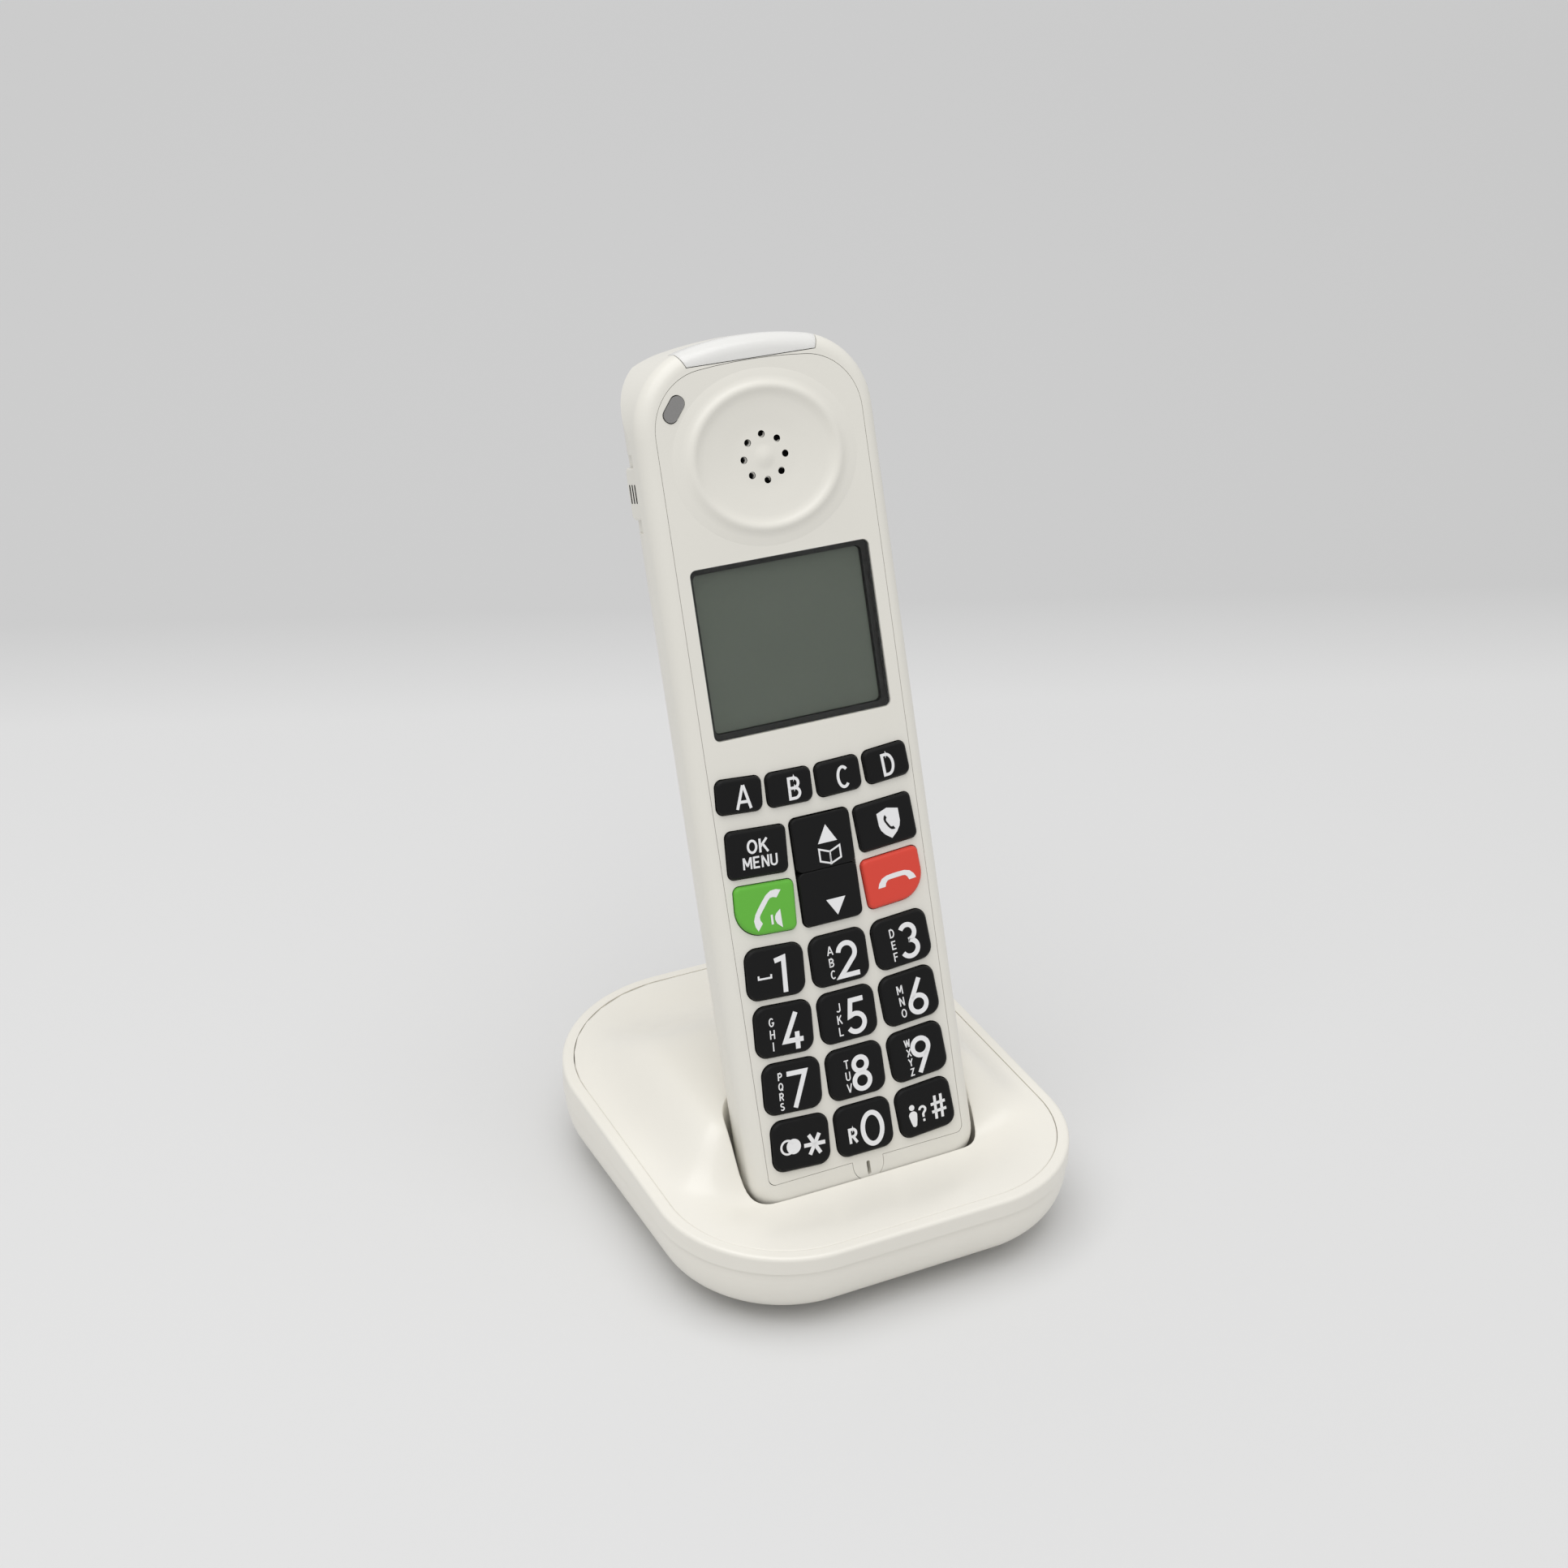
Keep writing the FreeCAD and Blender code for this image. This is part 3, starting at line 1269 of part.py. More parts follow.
def make_cradle_cover():
    """Top of the cradle: dished cover, hump behind the handset, pocket tub and screw posts."""
    above, below = sky("above_cover", length(0)), sky("above_inside", size("cover_wall"))
    outset = size("rim_wall") + size("cover_gap")
    skirt_inset = size("rim_wall") + size("rim_shelf") + size("cover_gap")
    head = size("rim_height") + size("hump_height") * 2
    skirt_low = size("parting_height") - size("cover_gap") / 2
    flange = cradle_plug("cover_flange", outset, SHELF_TOP, head)
    skirt = cradle_plug("cover_skirt", skirt_inset, skirt_low, head)
    outside = cut("cover_outside", fuse("cover_block", [flange, skirt]), above)
    space = cradle_plug("cover_space", skirt_inset + size("cover_skirt"), length(0), head)
    shell = cut("cover_shell", outside, cut("cover_inside", space, below))
    tub = pocket_block("pocket_tub", size("pocket_wall"), size("pocket_reach"))
    post_low = BASE_FLOOR_TOP + size("base_post_gap")
    posts = [cylinder(f"post_{name}", size("base_post_radius"), head - post_low, (across, along, post_low))
             for across, along, name in BASE_SCREWS]
    trimmed = cut("cover_stems", fuse("cover_stem_set", [tub] + posts), above)
    legs = leaning_rods("board_legs", size("charge_post_radius"), CHARGE_BOARD_TOP,
                        TUB_FLOOR + size("pocket_wall") / 2, size("charge_post_column"), size("pin_depth"))
    solid = fuse("cover_solid", [shell, trimmed, legs])
    pocket_space = pocket_block("pocket_space", length(0), size("pocket_reach") * 2)
    pin_ways = leaning_rods("pin_ways", size("pin_radius") + size("pin_gap"),
                            TUB_FLOOR - size("pin_gap"), POCKET_FLOOR + 1, size("pin_column"),
                            size("pin_depth"))
    bores = [cylinder(f"post_bore_{name}", size("base_screw_radius"), size("base_screw_length"),
                      (across, along, post_low)) for across, along, name in BASE_SCREWS]
    holes = fuse("cover_holes", [pocket_space, pin_ways] + bores)
    return keep(cut("cradle_cover_cut", solid, holes), "cradle_cover")


def make_base_screws():
    screws = []
    for across, along, name in BASE_SCREWS:
        low = size("foot_height") + size("screw_gap") / 2
        head = cylinder(f"base_head_{name}", size("base_screw_head_radius"),
                        size("base_screw_head_depth") - size("screw_gap"), (across, along, low))
        shank = cylinder(f"base_shank_{name}", size("base_screw_radius") - size("screw_gap") / 2,
                         size("base_screw_length"), (across, along, low))
        screws.append(fuse(f"base_screw_{name}", [head, shank]))
    return keep(combine("Part::Compound", "base_screw_set", screws), "cradle_screws")


def make_charging_parts():
    """Sprung contact pins, their springs and the small board that carries them."""
    for side, name in ((-1, "left"), (1, "right")):
        spot = (size("pin_column") * side, -size("pin_depth"))
        pin = new_body(f"charge_pin_{name}")
        stem = new_sketch(pin, f"stem_{name}", "XZ_Plane", spot=(spot[0], spot[1], -SPRING_TOP))
        pad(pin, circle(stem, size("pin_radius")), PIN_TIP - SPRING_TOP, back=True)
        round_edges(pin, at_level("y", PIN_TIP), size("pin_radius") * 0.6)
        flange = new_sketch(pin, f"collar_{name}", "XZ_Plane", spot=(spot[0], spot[1], -SPRING_TOP))
        pad(pin, circle(flange, size("pin_flange_radius")), size("pin_flange_thick"), back=True)
        keep_on_handset(pin, f"charge_pin_{name}")
        spring = new_body(f"charge_spring_{name}")
        coil = new_sketch(spring, f"coil_{name}", "XZ_Plane", spot=(spot[0], spot[1], -CHARGE_BOARD_TOP))
        circle(coil, size("pin_flange_radius"))
        circle(coil, size("pin_flange_radius") - size("spring_wall"))
        pad(spring, coil, size("spring_length"), back=True)
        keep_on_handset(spring, f"charge_spring_{name}")
    board = new_body("charge_board")
    sketch = new_sketch(board, "charge_board_outline", "XZ_Plane",
                        spot=(0, -size("pin_depth"), -CHARGE_BOARD_LOW))
    rounded_quad(sketch, size("charge_board_length"), size("charge_board_width"),
                 [size("charge_board_thick")] * 4)
    pad(board, sketch, size("charge_board_thick"), back=True)
    keep_on_handset(board, "charge_board")


def make_power_socket():
    """Socket for the power lead, open at the back of the cradle."""
    half = size("socket_width") / 2
    front = size("socket_face") - size("socket_depth")
    block = box("socket_block", (-half, front, SOCKET_LOW),
                (half, size("socket_face"), SOCKET_LOW + size("socket_height")))
    mouth_half = size("socket_mouth_width") / 2
    mouth = box("socket_mouth",
                (-mouth_half, size("socket_face") - size("socket_mouth_depth"), SOCKET_MOUTH_LOW),
                (mouth_half, size("socket_face") + 1, SOCKET_MOUTH_LOW + size("socket_mouth_height")))
    return keep(cut("power_socket_cut", block, mouth), "power_socket")


def build():
    make_cradle_base()
    make_feet()
    make_cradle_rim()
    make_cradle_cover()
    make_base_screws()
    make_charging_parts()
    make_power_socket()
    outer = hull("back_outside", length(0), SPLIT)
    make_fascia()
    make_front_housing()
    make_rear_housing(outer)
    make_battery_door(outer)
    make_light_bar()
    make_screen()
    make_indicator_lens()
    make_boards()
    make_speakers()
    make_cells()
    make_battery_contacts()
    make_handset_screws()
    make_charge_plates()
    make_tone_switch()
    make_side_key("volume", size("volume_middle"), size("volume_length"))
    make_side_key("boost", size("boost_middle"), size("boost_length"))
    for name in KEYS:
        make_key(name)


def check():
    """Stops if any object failed or any sub-part is empty or broken."""
    doc.recompute()
    for thing in doc.Objects:
        if "Invalid" in thing.State or "Error" in thing.State:
            raise RuntimeError(f"{thing.Name} failed: {thing.State}")
    for label, thing in parts.items():
        if thing.Shape.isNull() or not thing.Shape.isValid() or not thing.Shape.Solids:
            raise RuntimeError(f"{label} has no sound solid")


def write():
    os.makedirs("parts", exist_ok=True)
    for label, thing in parts.items():
        thing.Shape.exportStep(f"parts/{label}.step")


build()
check()
write()
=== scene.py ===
import json
import math

import bpy
from mathutils import Matrix, Vector
from mathutils.geometry import tessellate_polygon


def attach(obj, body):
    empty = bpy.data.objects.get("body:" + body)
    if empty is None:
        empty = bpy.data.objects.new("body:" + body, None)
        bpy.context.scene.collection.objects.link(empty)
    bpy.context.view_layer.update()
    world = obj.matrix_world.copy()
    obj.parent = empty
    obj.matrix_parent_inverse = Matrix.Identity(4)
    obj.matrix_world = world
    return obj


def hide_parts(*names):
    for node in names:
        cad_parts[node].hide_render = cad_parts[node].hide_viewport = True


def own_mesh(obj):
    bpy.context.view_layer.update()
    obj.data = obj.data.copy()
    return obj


# Looks of a big-button cordless telephone: a pale handset with black keys that leans back in a
# charging cradle. Handset sizes are in millimetres in the handset's own frame: across, along from
# the lowest key row, and out of the front face.

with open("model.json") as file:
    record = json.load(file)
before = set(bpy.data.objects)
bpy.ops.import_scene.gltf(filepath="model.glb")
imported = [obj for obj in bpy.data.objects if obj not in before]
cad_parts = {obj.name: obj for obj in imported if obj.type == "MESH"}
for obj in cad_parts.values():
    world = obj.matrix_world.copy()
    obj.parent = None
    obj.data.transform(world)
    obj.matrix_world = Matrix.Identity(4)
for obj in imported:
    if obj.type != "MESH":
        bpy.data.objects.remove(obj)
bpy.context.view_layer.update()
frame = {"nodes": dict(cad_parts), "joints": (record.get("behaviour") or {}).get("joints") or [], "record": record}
nodes = frame["nodes"]

MM = 0.001
SEAT = Vector((0, -26.1, 26.2)) * MM
LIFT = next(joint for joint in frame["joints"] if joint["name"] == "handset_lift")
ACROSS = Vector((1, 0, 0))
UP = Vector(LIFT["axis"])
OUT = ACROSS.cross(UP)
HANDSET = Matrix.Translation(SEAT) @ Matrix((ACROSS, UP, OUT)).transposed().to_4x4() @ Matrix.Scale(MM, 4)


# Camera, light and stage

PHOTO_SIDE = 1932
FOCAL_PIXELS = 3324.5
SENSOR = 36.0
NEAREST = 0.01
EYE = Vector((-0.2218, -0.4305, 0.34875))
YAW, PITCH, ROLL = 0.4652, 0.4845, 0.0065


def make_camera():
    """Camera in front of the telephone, above it and to its left."""
    data = bpy.data.cameras.new("photo_camera")
    data.sensor_width = SENSOR
    data.lens = FOCAL_PIXELS / PHOTO_SIDE * SENSOR
    data.clip_start = NEAREST
    camera = bpy.data.objects.new("photo_camera", data)
    bpy.context.collection.objects.link(camera)
    ahead = Vector((math.sin(YAW) * math.cos(PITCH), math.cos(YAW) * math.cos(PITCH), -math.sin(PITCH)))
    right = Vector((math.cos(YAW), -math.sin(YAW), 0))
    above = right.cross(ahead)
    right, above = (right * math.cos(ROLL) + above * math.sin(ROLL),
                    above * math.cos(ROLL) - right * math.sin(ROLL))
    turn = Matrix((right, above, -ahead)).transposed()
    camera.matrix_world = Matrix.Translation(EYE) @ turn.to_4x4()
    bpy.context.scene.camera = camera


STAGE_HALF = 3.0
STAGE_YAW = 0.384
STAGE_REACH = 1.35
PAPER_ROUGHNESS, PAPER_GLOSS = 0.9, 0.1
# Floor tones by distance behind the telephone; the darker middle tone is painted shade standing in for a shaded
# backdrop.
STAGE_TONES_WITH_PAINTED_SHADE = ((0.228, 0.735), (0.30, 0.622), (STAGE_REACH, 0.848))


def make_stage():
    """A level, pale floor that is painted a little darker well behind the telephone: painted shade standing in for
    a shaded backdrop.
    """
    mesh = bpy.data.meshes.new("stage")
    corners = ((-1, -1), (1, -1), (1, 1), (-1, 1))
    mesh.from_pydata([(x * STAGE_HALF, y * STAGE_HALF, 0) for x, y in corners], [], [(0, 1, 2, 3)])
    stage = bpy.data.objects.new("stage", mesh)
    bpy.context.collection.objects.link(stage)
    stage.data.materials.append(stage_material())


def stage_material():
    material, tree, shader = new_material("stage_paper")
    place = tree.nodes.new("ShaderNodeTexCoord")
    reach = tree.nodes.new("ShaderNodeVectorMath")
    reach.operation = "DOT_PRODUCT"
    reach.inputs[1].default_value = (math.sin(STAGE_YAW), math.cos(STAGE_YAW), 0)
    tree.links.new(place.outputs["Object"], reach.inputs[0])
    share = tree.nodes.new("ShaderNodeMapRange")
    share.inputs["From Max"].default_value = STAGE_REACH
    tree.links.new(reach.outputs["Value"], share.inputs["Value"])
    # Painted shade: the ramp darkens the floor well behind the telephone.
    ramp = tree.nodes.new("ShaderNodeValToRGB")
    ramp.color_ramp.elements.new(STAGE_TONES_WITH_PAINTED_SHADE[1][0] / STAGE_REACH)
    for stop, (distance, tone) in zip(ramp.color_ramp.elements, STAGE_TONES_WITH_PAINTED_SHADE):
        stop.position = distance / STAGE_REACH
        stop.color = (tone, tone, tone, 1)
    tree.links.new(share.outputs["Result"], ramp.inputs["Fac"])
    tree.links.new(ramp.outputs["Color"], shader.inputs["Base Color"])
    shader.inputs["Roughness"].default_value = PAPER_ROUGHNESS
    shader.inputs["Specular IOR Level"].default_value = PAPER_GLOSS
    return material


WORLD_STRENGTH = 0.618
LAMP_PLACE, LAMP_SIDE, LAMP_POWER = Vector((-0.2, -0.15, 1.2)), 1.2, 8.4


def make_light():
    """Even light from all round, and one large soft lamp above."""
    world = bpy.data.worlds.new("studio")
    world.use_nodes = True
    background = world.node_tree.nodes["Background"]
    background.inputs["Color"].default_value = (1, 1, 1, 1)
    background.inputs["Strength"].default_value = WORLD_STRENGTH
    bpy.context.scene.world = world
    data = bpy.data.lights.new("overhead", "AREA")
    data.size = LAMP_SIDE
    data.energy = LAMP_POWER
    lamp = bpy.data.objects.new("overhead", data)
    bpy.context.collection.objects.link(lamp)
    lamp.location = LAMP_PLACE
    lamp.rotation_euler = (-LAMP_PLACE).to_track_quat("-Z", "Y").to_euler()
    bpy.context.scene.view_settings.view_transform = "Standard"


# Materials

DRIFT_SCALE, FINISH_SCALE, GRAIN_SCALE, WINDOW_SCALE = 45.0, 160.0, 2600.0, 60.0
NOISE_DETAIL = 3.0
GRAIN_STRENGTH, GRAIN_DEPTH, GLASS_DEPTH = 0.25, 0.00002, 0.000002
WINDOW_COLOURS = (0.86, 0.88, 0.86), (0.92, 0.93, 0.92)
WINDOW_ROUGHNESS, WINDOW_INDEX = 0.02, 1.2
GLOW_DEPTH = 0.002


def new_material(name):
    material = bpy.data.materials.new(name)
    material.use_nodes = True
    tree = material.node_tree
    return material, tree, tree.nodes["Principled BSDF"]


def colour_mix(tree, factor, first, second):
    mix = tree.nodes.new("ShaderNodeMix")
    mix.data_type = "RGBA"
    mix.inputs["A"].default_value = (*first, 1)
    mix.inputs["B"].default_value = (*second, 1)
    tree.links.new(factor, mix.inputs["Factor"])
    return mix.outputs["Result"]


def noise(tree, scale):
    place = tree.nodes.new("ShaderNodeTexCoord")
    texture = tree.nodes.new("ShaderNodeTexNoise")
    texture.inputs["Scale"].default_value = scale
    texture.inputs["Detail"].default_value = NOISE_DETAIL
    tree.links.new(place.outputs["Object"], texture.inputs["Vector"])
    return texture.outputs["Fac"]


def moulded(name, colour, rough, shade=0.96, depth=GRAIN_DEPTH, metallic=0.0, gloss=0.5):
    """Moulded plastic or metal: slow drift of tone, patches of finish and a fine surface grain."""
    material, tree, shader = new_material(name)
    darker = tuple(part * shade for part in colour)
    tree.links.new(colour_mix(tree, noise(tree, DRIFT_SCALE), darker, colour), shader.inputs["Base Color"])
    finish = tree.nodes.new("ShaderNodeMapRange")
    finish.inputs["To Min"].default_value, finish.inputs["To Max"].default_value = rough
    tree.links.new(noise(tree, FINISH_SCALE), finish.inputs["Value"])
    tree.links.new(finish.outputs["Result"], shader.inputs["Roughness"])
    bump = tree.nodes.new("ShaderNodeBump")
    bump.inputs["Strength"].default_value = GRAIN_STRENGTH
    bump.inputs["Distance"].default_value = depth
    tree.links.new(noise(tree, GRAIN_SCALE), bump.inputs["Height"])
    tree.links.new(bump.outputs["Normal"], shader.inputs["Normal"])
    shader.inputs["Metallic"].default_value = metallic
    shader.inputs["Specular IOR Level"].default_value = gloss
    return material


def clear_window():
    """Clear screen plastic, a shade uneven in tint."""
    material, tree, shader = new_material("clear_window")
    tint = colour_mix(tree, noise(tree, WINDOW_SCALE), *WINDOW_COLOURS)
    tree.links.new(tint, shader.inputs["Base Color"])
    shader.inputs["Transmission Weight"].default_value = 1.0
    shader.inputs["Roughness"].default_value = WINDOW_ROUGHNESS
    shader.inputs["IOR"].default_value = WINDOW_INDEX
    return material


def translucent(name, colour, weight):
    """Plastic that lets a little light through."""
    material = moulded(name, colour, (0.18, 0.28), shade=0.97)
    shader = material.node_tree.nodes["Principled BSDF"]
    shader.inputs["Subsurface Weight"].default_value = weight
    shader.inputs["Subsurface Radius"].default_value = (1.0, 1.0, 1.0)
    shader.inputs["Subsurface Scale"].default_value = GLOW_DEPTH
    return material


MOULDED = {
    "cradle_plastic": dict(colour=(0.885, 0.858, 0.785), rough=(0.26, 0.34)),
    "handset_plastic": dict(colour=(0.82, 0.80, 0.735), rough=(0.28, 0.36)),
    "key_plastic": dict(colour=(0.008, 0.008, 0.0083), rough=(0.4, 0.52), shade=0.8, gloss=0.16),
    "talk_plastic": dict(colour=(0.135, 0.49, 0.053), rough=(0.36, 0.46), gloss=0.3),
    "end_plastic": dict(colour=(0.745, 0.068, 0.044), rough=(0.36, 0.46), gloss=0.3),
    "panel_glass": dict(colour=(0.176, 0.2, 0.166), rough=(0.12, 0.2), depth=GLASS_DEPTH),
    "dark_plastic": dict(colour=(0.02, 0.02, 0.02), rough=(0.4, 0.55)),
    "mat_rubber": dict(colour=(0.30, 0.30, 0.30), rough=(0.6, 0.75)),
    "foot_rubber": dict(colour=(0.05, 0.05, 0.05), rough=(0.65, 0.8)),
    "screw_steel": dict(colour=(0.55, 0.55, 0.56), rough=(0.25, 0.4), metallic=1.0),
    "contact_metal": dict(colour=(0.76, 0.60, 0.30), rough=(0.2, 0.35), metallic=1.0),
    "circuit_board": dict(colour=(0.03, 0.19, 0.08), rough=(0.35, 0.5)),
    "cell_wrap": dict(colour=(0.05, 0.20, 0.42), rough=(0.2, 0.3)),
    # Near black: painted shade in the ear holes, and the colour of the slider's dark ribs.
    "hole_black": dict(colour=(0.004, 0.004, 0.004), rough=(0.7, 0.8), gloss=0.05),
    # Painted shade: the seam band's darker tone stands for shadow in the gap under the upper shell.
    "seam_shade": dict(colour=(0.56, 0.545, 0.50), rough=(0.32, 0.42)),
    "legend_white": dict(colour=(0.87, 0.87, 0.88), rough=(0.45, 0.55)),
}
TRANSLUCENT = {
    "lamp_plastic": dict(colour=(0.80, 0.795, 0.775), weight=0.3),
    "indicator_grey": dict(colour=(0.25, 0.245, 0.24), weight=0.1),
}
materials = {name: moulded(name, **finish) for name, finish in MOULDED.items()}
materials |= {name: translucent(name, **finish) for name, finish in TRANSLUCENT.items()}
materials["window_glass"] = clear_window()


def dress_nodes():
    """Every node takes its slot's finish; the call light's lens is greyer than the light bar."""
    finishes = {part["node"]: part["material_slot"] for part in frame["record"]["subparts"]}
    finishes["indicator_lens"] = "indicator_grey"
    for node, finish in finishes.items():
        nodes[node].data.materials.clear()
        nodes[node].data.materials.append(materials[finish])


# Meshes

def add_piece(name, verts, faces, material, body, slot, place=HANDSET):
    """A piece from points in a local frame, smooth, riding on a body."""
    mesh = bpy.data.meshes.new(name)
    mesh.from_pydata([place @ Vector(vert) for vert in verts], [], faces)
    mesh.shade_smooth()
    mesh.materials.append(materials[material])
    piece = bpy.data.objects.new(name, mesh)
    bpy.context.collection.objects.link(piece)
    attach(piece, body)
    return piece


def arc(centre, radii, start, end, steps=20):
    """Points on an elliptic arc, in degrees, anticlockwise when end is above start."""
    points = []
    for step in range(steps + 1):
        angle = math.radians(start + (end - start) * step / steps)
        points.append((centre[0] + radii[0] * math.cos(angle), centre[1] + radii[1] * math.sin(angle)))
    return points


def rounded_quad(width, height, radii, steps=8):
    """Outline points about the origin, corner radii clockwise from top left."""
    a, b = width / 2, height / 2
    tl, tr, br, bl = radii
    points = arc((a - tr, b - tr), (tr, tr), 0, 90, steps)
    points += arc((tl - a, b - tl), (tl, tl), 90, 180, steps)
    points += arc((bl - a, bl - b), (bl, bl), 180, 270, steps)
    points += arc((a - br, br - b), (br, br), 270, 360, steps)
    return points


def skin(rings, close_last=True):
    """Points and faces of a skin over rings of equal count, with a flat face inside the last one."""
    count = len(rings[0])
    verts = [point for ring in rings for point in ring]
    faces = []
    for low in range(0, (len(rings) - 1) * count, count):
        for spot in range(count):
            after = (spot + 1) % count
            faces.append((low + spot, low + after, low + count + after, low + count + spot))
    if close_last:
        faces.append(tuple(range((len(rings) - 1) * count, len(rings) * count)))
    return verts, faces


def join(verts, faces, more_verts, more_faces):
    """Adds points and faces to lists that may already hold some."""
    base = len(verts)
    verts += more_verts
    faces += [tuple(base + index for index in face) for face in more_faces]


# Keys

KEY_RISE = 1.0
KEY_FOOT = -1.9
KEY_EDGE = 0.75
KEY_CROWN = 0.04
ROCKER_EDGE = 0.35
EDGE_STEPS = 6
TOP_RINGS = (0.15, 0.35, 0.6, 0.85)
SMALL_CORNER = 0.25
ROW_BEND = 232.0
CORNER, SWEEP = 1.3, 5.5
DIGIT_SIZE, DIGIT_CORNER = (12.9, 10.6), 2.5
DIGIT_COLUMN, DIGIT_ROW = 14.5, 12.12
MEMORY_SIZE, MEMORY_CORNER = (10.0, 7.0), 1.5
MEMORY_COLUMN, MEMORY_ROW = 11.09, 73.26
SOFT_SIZE, SOFT_COLUMN, SOFT_ROW = (13.2, 9.7), 14.6, 61.3
CALL_SIZE, CALL_ROW = (13.2, 10.4), 49.6
ROCKER_SIZE, ROCKER_ROW = (13.2, 22.4), 55.4
DIGITS = ("star", "0", "hash", "7", "8", "9", "4", "5", "6", "1", "2", "3")


class Key:
    """Place, size and finish of one key; its own frame lies on the fascia under its middle."""

    def __init__(self, name, across, along, size, radii, material="key_plastic"):
        self.name, self.size, self.radii, self.material = name, size, radii, material
        lift = across * across / (ROW_BEND * 2)
        self.place = (HANDSET @ Matrix.Translation((across, along + lift, 0))
                      @ Matrix.Rotation(across / ROW_BEND, 4, "Z"))

    def top(self, x, y):
        """Height of the slightly crowned key top."""
        crown = (1 - (2 * x / self.size[0]) ** 2) * (1 - (2 * y / self.size[1]) ** 2)
        return KEY_RISE - KEY_CROWN + KEY_CROWN * max(crown, 0)


def all_keys():
    """Dial keys from the lowest row up, memory keys, and the soft keys round the two-way key."""
    keys = []
    for index, name in enumerate(DIGITS):
        across = DIGIT_COLUMN * (index % 3 - 1)
        keys.append(Key(name, across, DIGIT_ROW * (index // 3), DIGIT_SIZE, [DIGIT_CORNER] * 4))
    for index, name in enumerate("abcd"):
        across = MEMORY_COLUMN * (index - 1.5)
        keys.append(Key(name, across, MEMORY_ROW, MEMORY_SIZE, [MEMORY_CORNER] * 4))
    keys.append(Key("menu", -SOFT_COLUMN, SOFT_ROW, SOFT_SIZE, [CORNER] * 4))
    keys.append(Key("shield", SOFT_COLUMN, SOFT_ROW, SOFT_SIZE, [CORNER] * 4))
    talk = [CORNER, CORNER, CORNER, SWEEP]
    end = [CORNER, CORNER, SWEEP, CORNER]
    keys.append(Key("talk", -SOFT_COLUMN, CALL_ROW, CALL_SIZE, talk, "talk_plastic"))
    keys.append(Key("end", SOFT_COLUMN, CALL_ROW, CALL_SIZE, end, "end_plastic"))
    keys.append(Key("navigation", 0, ROCKER_ROW, ROCKER_SIZE, [CORNER] * 4))
    return keys


def cap_rings(key, size, radii, shift, edge):
    """Rings of a cap: straight sides, a rounded edge and a faintly crowned top."""
    insets = [(0.0, KEY_FOOT), (0.0, KEY_RISE - KEY_CROWN - edge)]
    for step in range(1, EDGE_STEPS + 1):
        angle = math.pi / 2 * step / EDGE_STEPS
        insets.append((edge * (1 - math.cos(angle)), KEY_RISE - KEY_CROWN - edge * (1 - math.sin(angle))))
    inside = min(size) / 2 - edge - SMALL_CORNER
    insets += [(edge + inside * share, None) for share in TOP_RINGS]
    rings = []
    for inset, level in insets:
        corners = [max(radius - inset, SMALL_CORNER) for radius in radii]
        ring = []
        for x, y in rounded_quad(size[0] - inset * 2, size[1] - inset * 2, corners):
            ring.append((x, y + shift, level if level is not None else key.top(x, y + shift)))
        rings.append(ring)
    return rings


def make_key(key):
    """The cap of one key; the two-way key has a crease across its middle."""
    node = f"key_{key.name}"
    if key.name == "navigation":
        half = (key.size[0], key.size[1] / 2)
        caps = [cap_rings(key, half, key.radii, half[1] / 2 * side, ROCKER_EDGE) for side in (1, -1)]
    else:
        caps = [cap_rings(key, key.size, key.radii, 0, KEY_EDGE)]
    verts, faces = [], []
    for rings in caps:
        join(verts, faces, *skin(rings))
    piece = add_piece(f"cap_{key.name}", verts, faces, key.material, node, key.material, key.place)
    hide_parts(node)


# Legends

PRINT_LIFT = 0.03
PRINT_DEPTH = 0.06
PRINT_PITCH = 0.9
TOUCH = 1e-4
MITRE_LEAST = 0.4
DIGIT_HEIGHT, DIGIT_STROKE = 7.8, 1.02
DIGIT_MIDDLE = 0.35
DIGIT_ALONG = -0.45
DIGIT_ACROSS = {"7": 0.95, "8": 1.05, "9": 0.8}
DIGIT_ACROSS_USUAL = 1.6
LETTER_ACROSS = {"4": -2.95, "7": -2.9}
LETTER_ACROSS_USUAL, LETTER_ALONG = -2.2, -0.5
COLUMN_OF_THREE, COLUMN_OF_FOUR = (2.53, 1.85), (2.1, 1.6)
LETTER_STROKE = 0.25
LETTER_GAP = 0.24
MEMORY_ACROSS, MEMORY_ALONG = {"a": 0.64, "b": 0.8, "c": 0.65, "d": 0.1}, -0.3
MEMORY_HEIGHT, MEMORY_STROKE = 4.8, 0.6

DIGIT_STROKES = {
    "0": [arc((0.35, 0.5), (0.285, 0.425), 0, 360, 40)],
    "1": [[(0.10, 0.865), (0.36, 0.925), (0.36, 0.0)]],
    "2": [arc((0.33, 0.68), (0.24, 0.25), 172, -35) + [(0.09, 0.07), (0.64, 0.07)]],
    "3": [arc((0.31, 0.72), (0.21, 0.21), 150, -90), arc((0.31, 0.29), (0.235, 0.22), 90, -155)],
    "4": [[(0.64, 0.245), (0.12, 0.245), (0.47, 0.98)], [(0.47, 0.0), (0.47, 0.46)]],
    "5": [[(0.60, 0.93), (0.23, 0.93), (0.165, 0.52)] + arc((0.32, 0.315), (0.25, 0.245), 118, -150)],
    "6": [arc((0.33, 0.30), (0.235, 0.23), 0, 360, 32), [(0.12, 0.41), (0.47, 0.99)]],
    "7": [[(0.05, 0.93), (0.58, 0.93), (0.23, 0.0)]],
    "8": [arc((0.33, 0.745), (0.19, 0.185), 0, 360, 32), arc((0.33, 0.29), (0.225, 0.22), 0, 360, 32)],
    "9": [arc((0.33, 0.70), (0.235, 0.23), 0, 360, 32), [(0.54, 0.59), (0.19, 0.01)]],
}
